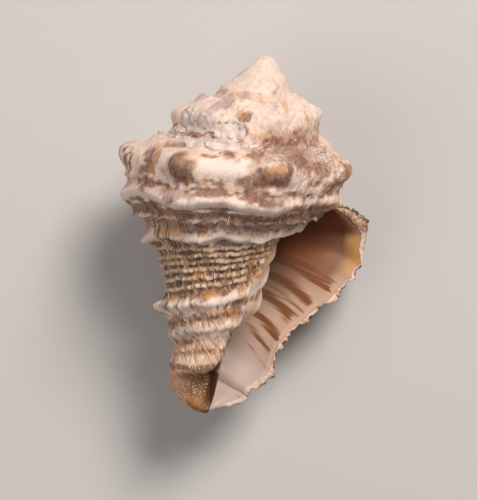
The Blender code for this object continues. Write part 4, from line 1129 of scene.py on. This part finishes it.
    # Relief: grain everywhere outside, streaks in the furrows
    matt = maths(tree, "SUBTRACT", 1.0, glossy)
    grain = maths(tree, "MULTIPLY", fine, maths(tree, "MULTIPLY", matt, 0.5))
    grooved = maths(tree, "MULTIPLY", matt, maths(tree, "MULTIPLY_ADD", mark(tree, "fine"), 0.7, 0.12))
    ridges = maths(tree, "MULTIPLY", thin_height, grooved)
    height = maths(tree, "ADD", grain, ridges)
    relief_bump = add(tree, "ShaderNodeBump", Strength=0.9, Distance=0.0004, Height=height)
    tree.links.new(relief_bump.outputs[0], shader.inputs["Normal"])
    return material


points, quads, quad_uvs, facts = shell_surface()
faces, corner_uvs = triangles(quads, quad_uvs)
shell = make_piece("weathered_shell", placed(points), faces, shell_material(), corner_uvs,
                   shell_marks(*facts.T))
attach(shell, "root")
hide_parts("shell")


# The crust.  A thin plate of chalk that has grown over the spire's last whorl and in a tongue across the
# suture: pale grey, pitted, with a crisp broken edge.  Each blob is an azimuth, a height under the
# suture, half its width in degrees and in millimetres; the plate is where the blobs and noise add up.
CRUST_AZIMUTHS = np.linspace(-635.0, -538.0, 205)
CRUST_ROWS = np.linspace(-9.2, 7.4, 112)
CRUST_BLOBS = [(-584, -5.2, 27, 2.5), (-556, -2.2, 13, 2.4), (-611, -3.4, 14, 3.8), (-604, 0.4, 8, 3.2),
               (-607, 3.2, 9, 2.6), (-594, 4.0, 7, 1.8), (-628, -1.6, 5, 1.4), (-560, -7.2, 8, 1.0)]
CRUST_EDGE = (0.40, 0.47)
CRUST_THICK = 0.42
CRUST_SUNK = 0.35
CRUST_PITS = [(-606, -5.9, 0.34), (-601, -5.7, 0.3), (-612, -5.9, 0.26), (-563, -1.8, 0.4), (-618, -4.6, 0.3),
              (-590, -4.2, 0.22), (-577, -5.6, 0.2), (-609, 1.9, 0.24), (-599, -3.2, 0.2)]
CRUST_WHITE = srgb(224, 202, 188)
CRUST_GREY = srgb(188, 172, 164)
PIT_BROWN = srgb(120, 92, 72)


def closed_sheet(top, bottom):
    """Vertices and faces of a slab between two grids of points: both sheets and the rim around them."""
    rows, columns = top.shape[:2]
    index = np.arange(rows*columns).reshape(rows, columns)
    rim = np.concatenate([index[0, :-1], index[:-1, -1], index[-1, :0:-1], index[:0:-1, 0]])
    sheets = blocks(index)
    sides = between(rim, rim + rows*columns)
    faces = np.concatenate([sheets, sheets[:, ::-1] + rows*columns, sides[:, ::-1]])
    return np.concatenate([top.reshape(-1, 3), bottom.reshape(-1, 3)]), faces


def crust_material():
    """Chalk: white with grey clouds, brown in the pits."""
    material, tree, shader = new_material("crust")
    place = add(tree, "ShaderNodeTexCoord").outputs["Object"]
    cloud = noise(tree, place, 420.0, 5.0, 0.6)
    fine = noise(tree, place, 2200.0, 3.0, 0.6)
    colour = blend(tree, edge(tree, cloud, 0.4, 0.62), CRUST_WHITE, CRUST_GREY)
    colour = layer(tree, colour, PIT_BROWN, mark(tree, "pit"), 0.8)
    tree.links.new(colour, shader.inputs["Base Color"])
    shader.inputs["Roughness"].default_value = 0.75
    grain = add(tree, "ShaderNodeBump", Strength=0.6, Distance=0.0002, Height=fine)
    tree.links.new(grain.outputs[0], shader.inputs["Normal"])
    return material


azimuths, *_, bent, whorl_r, whorl_d = whorl_grid()
outside_grid = position(bent, whorl_r, whorl_d)
crust_az, crust_row = np.meshgrid(CRUST_AZIMUTHS, CRUST_ROWS, indexing="ij")
under = crust_row >= 0
crust_place = np.where(under, crust_row, cover(crust_az) + crust_row)
base, out = on_shell(azimuths, outside_grid, crust_az + 360.0*under, crust_place)
cover_share = np.max([np.exp(-((crust_az - at)/degrees)**2 - ((crust_row - row)/wide)**2)
                      for at, row, degrees, wide in CRUST_BLOBS], axis=0)
cover_share += 0.16*lumps(crust_az/5.0, crust_row/1.3, 40) + 0.06*lumps(crust_az/1.8, crust_row/0.5, 41)
thick = smooth(*CRUST_EDGE, cover_share)*CRUST_THICK*(1 + 0.35*lumps(crust_az/4.0, crust_row/1.1, 42))
pit = np.max([np.exp(-((crust_az - at)*0.25/wide)**2 - ((crust_row - row)/wide)**2)
              for at, row, wide in CRUST_PITS], axis=0)
top_sheet = base + out*(thick - 0.5*pit*thick - CRUST_SUNK*(1 - smooth(*CRUST_EDGE, cover_share)))[..., None]
crust_points, crust_faces = closed_sheet(top_sheet, base - out*(CRUST_SUNK + 0.25))
crust = make_piece("crust", placed(crust_points), crust_faces, crust_material(),
                   marks={"pit": np.concatenate([pit.ravel(), 0*pit.ravel()])})
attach(crust, "root")


# The grains.  White sand is stuck in the hollow and on the right shoulder, and brown crumbs of the
# outer layer cling to the lip's upper corner.  A field is two azimuths, two places, a count and the
# smallest and largest radius; a grain is a ball of twenty faces, its corners jittered and squashed at random.
SAND_FIELDS = [(-256, -220, 57.2, 62.5, 46, 0.08, 0.18), (-243, -226, 58.0, 61.5, 24, 0.10, 0.20),
               (-338, -311, 3.6, 8.6, 90, 0.10, 0.26), (-346, -318, 9.0, 11.0, 14, 0.08, 0.18),
               (-300, -240, 62.5, 65.0, 10, 0.08, 0.14)]
CRUMB_FIELDS = [(-33, -28.2, 3.5, 15.5, 130, 0.18, 0.55), (-46, -30, 3.0, 17.0, 80, 0.14, 0.45),
                (-36, -28.5, 44.0, 62.0, 40, 0.08, 0.2), (-36, -28.5, 20.0, 44.0, 40, 0.08, 0.18)]
SAND_WHITE = srgb(236, 226, 214)
SAND_TAN = srgb(190, 164, 136)
CRUMB_BROWN = srgb(142, 110, 84)
CRUMB_DARK = srgb(84, 58, 40)
GOLDEN = (1 + 5**0.5)/2
BALL = np.array([(-1, GOLDEN, 0), (1, GOLDEN, 0), (-1, -GOLDEN, 0), (1, -GOLDEN, 0), (0, -1, GOLDEN),
                 (0, 1, GOLDEN), (0, -1, -GOLDEN), (0, 1, -GOLDEN), (GOLDEN, 0, -1), (GOLDEN, 0, 1),
                 (-GOLDEN, 0, -1), (-GOLDEN, 0, 1)])/np.hypot(1, GOLDEN)
BALL_FACES = np.array([
    (0, 11, 5), (0, 5, 1), (0, 1, 7), (0, 7, 10), (0, 10, 11), (1, 5, 9), (5, 11, 4), (11, 10, 2),
    (10, 7, 6), (7, 1, 8), (3, 9, 4), (3, 4, 2), (3, 2, 6), (3, 6, 8), (3, 8, 9), (4, 9, 5), (2, 4, 11),
    (6, 2, 10), (8, 6, 7), (9, 8, 1)])


def grain_material(name, pale, dark):
    """Matt grains, each between two colours by its own shade."""
    material, tree, shader = new_material(name)
    tree.links.new(blend(tree, mark(tree, "shade"), pale, dark), shader.inputs["Base Color"])
    shader.inputs["Roughness"].default_value = 0.7
    return material


def grains(name, fields, material, seed):
    """One mesh of many grains, spread over their fields and sunk into the surface by half."""
    chance = np.random.default_rng(seed)
    spots = np.concatenate([
        np.stack([chance.uniform(start, end, count), chance.uniform(above, below, count),
                  chance.uniform(small, large, count)], 1)
        for start, end, above, below, count, small, large in fields])
    point, out = on_shell(azimuths, outside_grid, spots[:, 0], spots[:, 1])
    count = len(spots)
    corners = BALL*(1 + chance.uniform(-0.22, 0.22, (count, 12, 1)))
    corners = corners*chance.uniform(0.6, 1.15, (count, 1, 3))*spots[:, 2, None, None]
    corners = corners + (point + out*0.35*spots[:, 2:])[:, None]
    faces = BALL_FACES + 12*np.arange(count)[:, None, None]
    shade = np.repeat(chance.uniform(0, 1, count), 12)
    made = make_piece(name, placed(corners.reshape(-1, 3)), faces.reshape(-1, 3), material,
                      marks={"shade": shade})
    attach(made, "root")


grains("sand_grains", SAND_FIELDS, grain_material("sand", SAND_WHITE, SAND_TAN), 11)
grains("lip_crumbs", CRUMB_FIELDS, grain_material("crumbs", CRUMB_BROWN, CRUMB_DARK), 12)


# The growth lamellae.  At rest times the animal left thin edges of lime, which still stand across the
# furrows as pale, broken hair lines along the growth lines: three-sided strips, sunk into the shell.
LAMELLA_FIELDS = [(-234, -204, 19.0, 31.0, 34, 9.0), (-345, -240, 18.6, 27.0, 26, 2.6),
                  (-252, -176, 27.6, 42.0, 130, 5.0), (-296, -252, 29.0, 42.0, 45, 4.0),
                  (-290, -176, 45.6, 56.0, 70, 3.4), (-345, -262, 0.6, 9.0, 30, 1.6),
                  (-700, -628, 11.5, 17.0, 24, 1.6), (-176, -40, 18.6, 56.0, 150, 4.0)]
LAMELLA_STEPS = 22
LAMELLA_WIDE = 0.13
LAMELLA_HIGH = (0.06, 0.18)
LAMELLA_PALE = srgb(226, 196, 160)
LAMELLA_BROWN = srgb(120, 84, 56)


def lamellae_piece():
    """Strips that follow a growth line from a random start: each step down moves the azimuth by the
    line's slant, and each cross-section is a triangle that shrinks at both ends."""
    chance = np.random.default_rng(13)
    starts = np.concatenate([
        np.stack([chance.uniform(start, end, count), chance.uniform(above, below - 0.4*long, count),
                  long*chance.uniform(0.4, 1.3, count), np.full(count, below)], 1)
        for start, end, above, below, count, long in LAMELLA_FIELDS])
    count = len(starts)
    share = np.linspace(0, 1, LAMELLA_STEPS)
    place = np.minimum(starts[:, 1:2] + starts[:, 2:3]*share, starts[:, 3:4])
    straight = growth_coordinate(starts[:, :1], starts[:, 1:2])
    azimuth = straight - growth_coordinate(0*place, place) + 0.35*lumps(place/0.9, starts[:, :1]*3.1, 50)
    point, out = on_shell(azimuths, outside_grid, azimuth, place)
    along = np.gradient(point, axis=1)
    side = np.cross(along, out)
    side = side/(np.linalg.norm(side, axis=-1, keepdims=True) + 1e-9)
    taper = np.sqrt(np.clip(4*share*(1 - share), 0.02, 1))[None, :, None]
    uneven = 1 + 0.5*lumps(place/0.5, starts[:, :1]*7.7, 51)
    high = chance.uniform(*LAMELLA_HIGH, (count, 1, 1))*uneven[..., None]
    corners = np.stack([point - side*LAMELLA_WIDE*taper - out*0.08, point + out*high*taper,
                        point + side*LAMELLA_WIDE*taper - out*0.08], 2)
    index = np.arange(count*LAMELLA_STEPS*3).reshape(count, LAMELLA_STEPS, 3)
    here, after = index[:, :-1], index[:, 1:]
    walls = np.stack([here, after, np.roll(after, -1, 2), np.roll(here, -1, 2)], -1).reshape(-1, 4)
    quads = np.concatenate([walls[:, [0, 1, 2]], walls[:, [0, 2, 3]], index[:, 0, ::-1], index[:, -1]])
    shade = np.repeat(chance.uniform(0, 1, count), LAMELLA_STEPS*3)
    made = make_piece("growth_lamellae", placed(corners.reshape(-1, 3)), quads,
                      grain_material("lamellae", LAMELLA_PALE, LAMELLA_BROWN), marks={"shade": shade})
    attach(made, "root")


lamellae_piece()


# The table, the light and the camera.  A plain pale floor under a soft lamp high beyond the apex and a
# weaker one from the lower left, seen from nearly straight above, as the photograph is taken.
floor_material, *_, floor_shader = new_material("pale_floor")
floor_shader.inputs["Base Color"].default_value = srgb(196, 192, 188)
floor_shader.inputs["Roughness"].default_value = 0.9
FLOOR_SIDE = 2.0
corners = np.array([(-1, -1, 0), (1, -1, 0), (1, 1, 0), (-1, 1, 0)])*[FLOOR_SIDE/2, FLOOR_SIDE/2, 0]
floor = make_piece("pale_floor", corners, np.array([[0, 1, 2, 3]]), floor_material)

# The photograph: pixels to a millimetre, the apex's and the middle's pixel, how the shell is rolled
# in it and its apex tilted towards the viewer, and how far the camera stands off
PHOTO_SIZE = (477, 500)
PIXELS = 5.0
APEX_PIXEL = np.array([267.5, 55.0])
MIDDLE_PIXEL = np.array([238.5, 250.0])
ROLL, TILT = np.radians(-9.843), np.radians(8.0)
STAND_OFF = 400.0
SENSOR = 36.0


def picture_axes():
    """Picture right, down and away as rows, in the shell's frame: the roll, then the tilt."""
    down = np.array([np.sin(ROLL), np.cos(ROLL), 0])
    right = np.array([np.cos(ROLL), -np.sin(ROLL), 0])
    away = np.array([0, 0, 1.0])
    shell_axes = [right, down*np.sin(TILT) - away*np.cos(TILT), down*np.cos(TILT) + away*np.sin(TILT)]
    return np.stack(shell_axes, 1)


axes = picture_axes()
middle = np.append((MIDDLE_PIXEL - APEX_PIXEL)/PIXELS, -STAND_OFF)
right, down, away = laid(axes)/MM
camera_data = bpy.data.cameras.new("camera")
camera_data.sensor_fit = "HORIZONTAL"
camera_data.sensor_width = SENSOR
camera_data.lens = SENSOR*STAND_OFF*PIXELS/PHOTO_SIZE[0]
camera = bpy.data.objects.new("camera", camera_data)
bpy.context.scene.collection.objects.link(camera)
turn = np.eye(4)
turn[:3, 0], turn[:3, 1], turn[:3, 2] = right, -down, -away
turn[:3, 3] = laid(middle @ axes) + APEX
camera.matrix_world = Matrix(turn.tolist())
bpy.context.scene.camera = camera


def lamp(name, where, at, size, power, colour):
    """A square soft lamp, turned from where it stands to a point."""
    data = bpy.data.lights.new(name, "AREA")
    data.size, data.energy, data.color = size, power, colour
    made = bpy.data.objects.new(name, data)
    bpy.context.scene.collection.objects.link(made)
    made.location = where
    made.rotation_euler = (Vector(at) - Vector(where)).to_track_quat("-Z", "Y").to_euler()
    return made


LAMP_AIM = (0, 0, 0.02)
lamp("key", (0.16, 0.54, 0.70), LAMP_AIM, 0.34, 8.4, (1.0, 0.955, 0.93))
lamp("fill", (-0.5, -0.2, 0.7), LAMP_AIM, 0.6, 2.0, (1.0, 0.98, 0.97))
world = bpy.data.worlds.new("studio")
world.use_nodes = True
background = world.node_tree.nodes["Background"]
background.inputs["Color"].default_value = (0.9, 0.9, 0.92, 1)
background.inputs["Strength"].default_value = 0.2
bpy.context.scene.world = world
bpy.context.scene.view_settings.view_transform = "Standard"
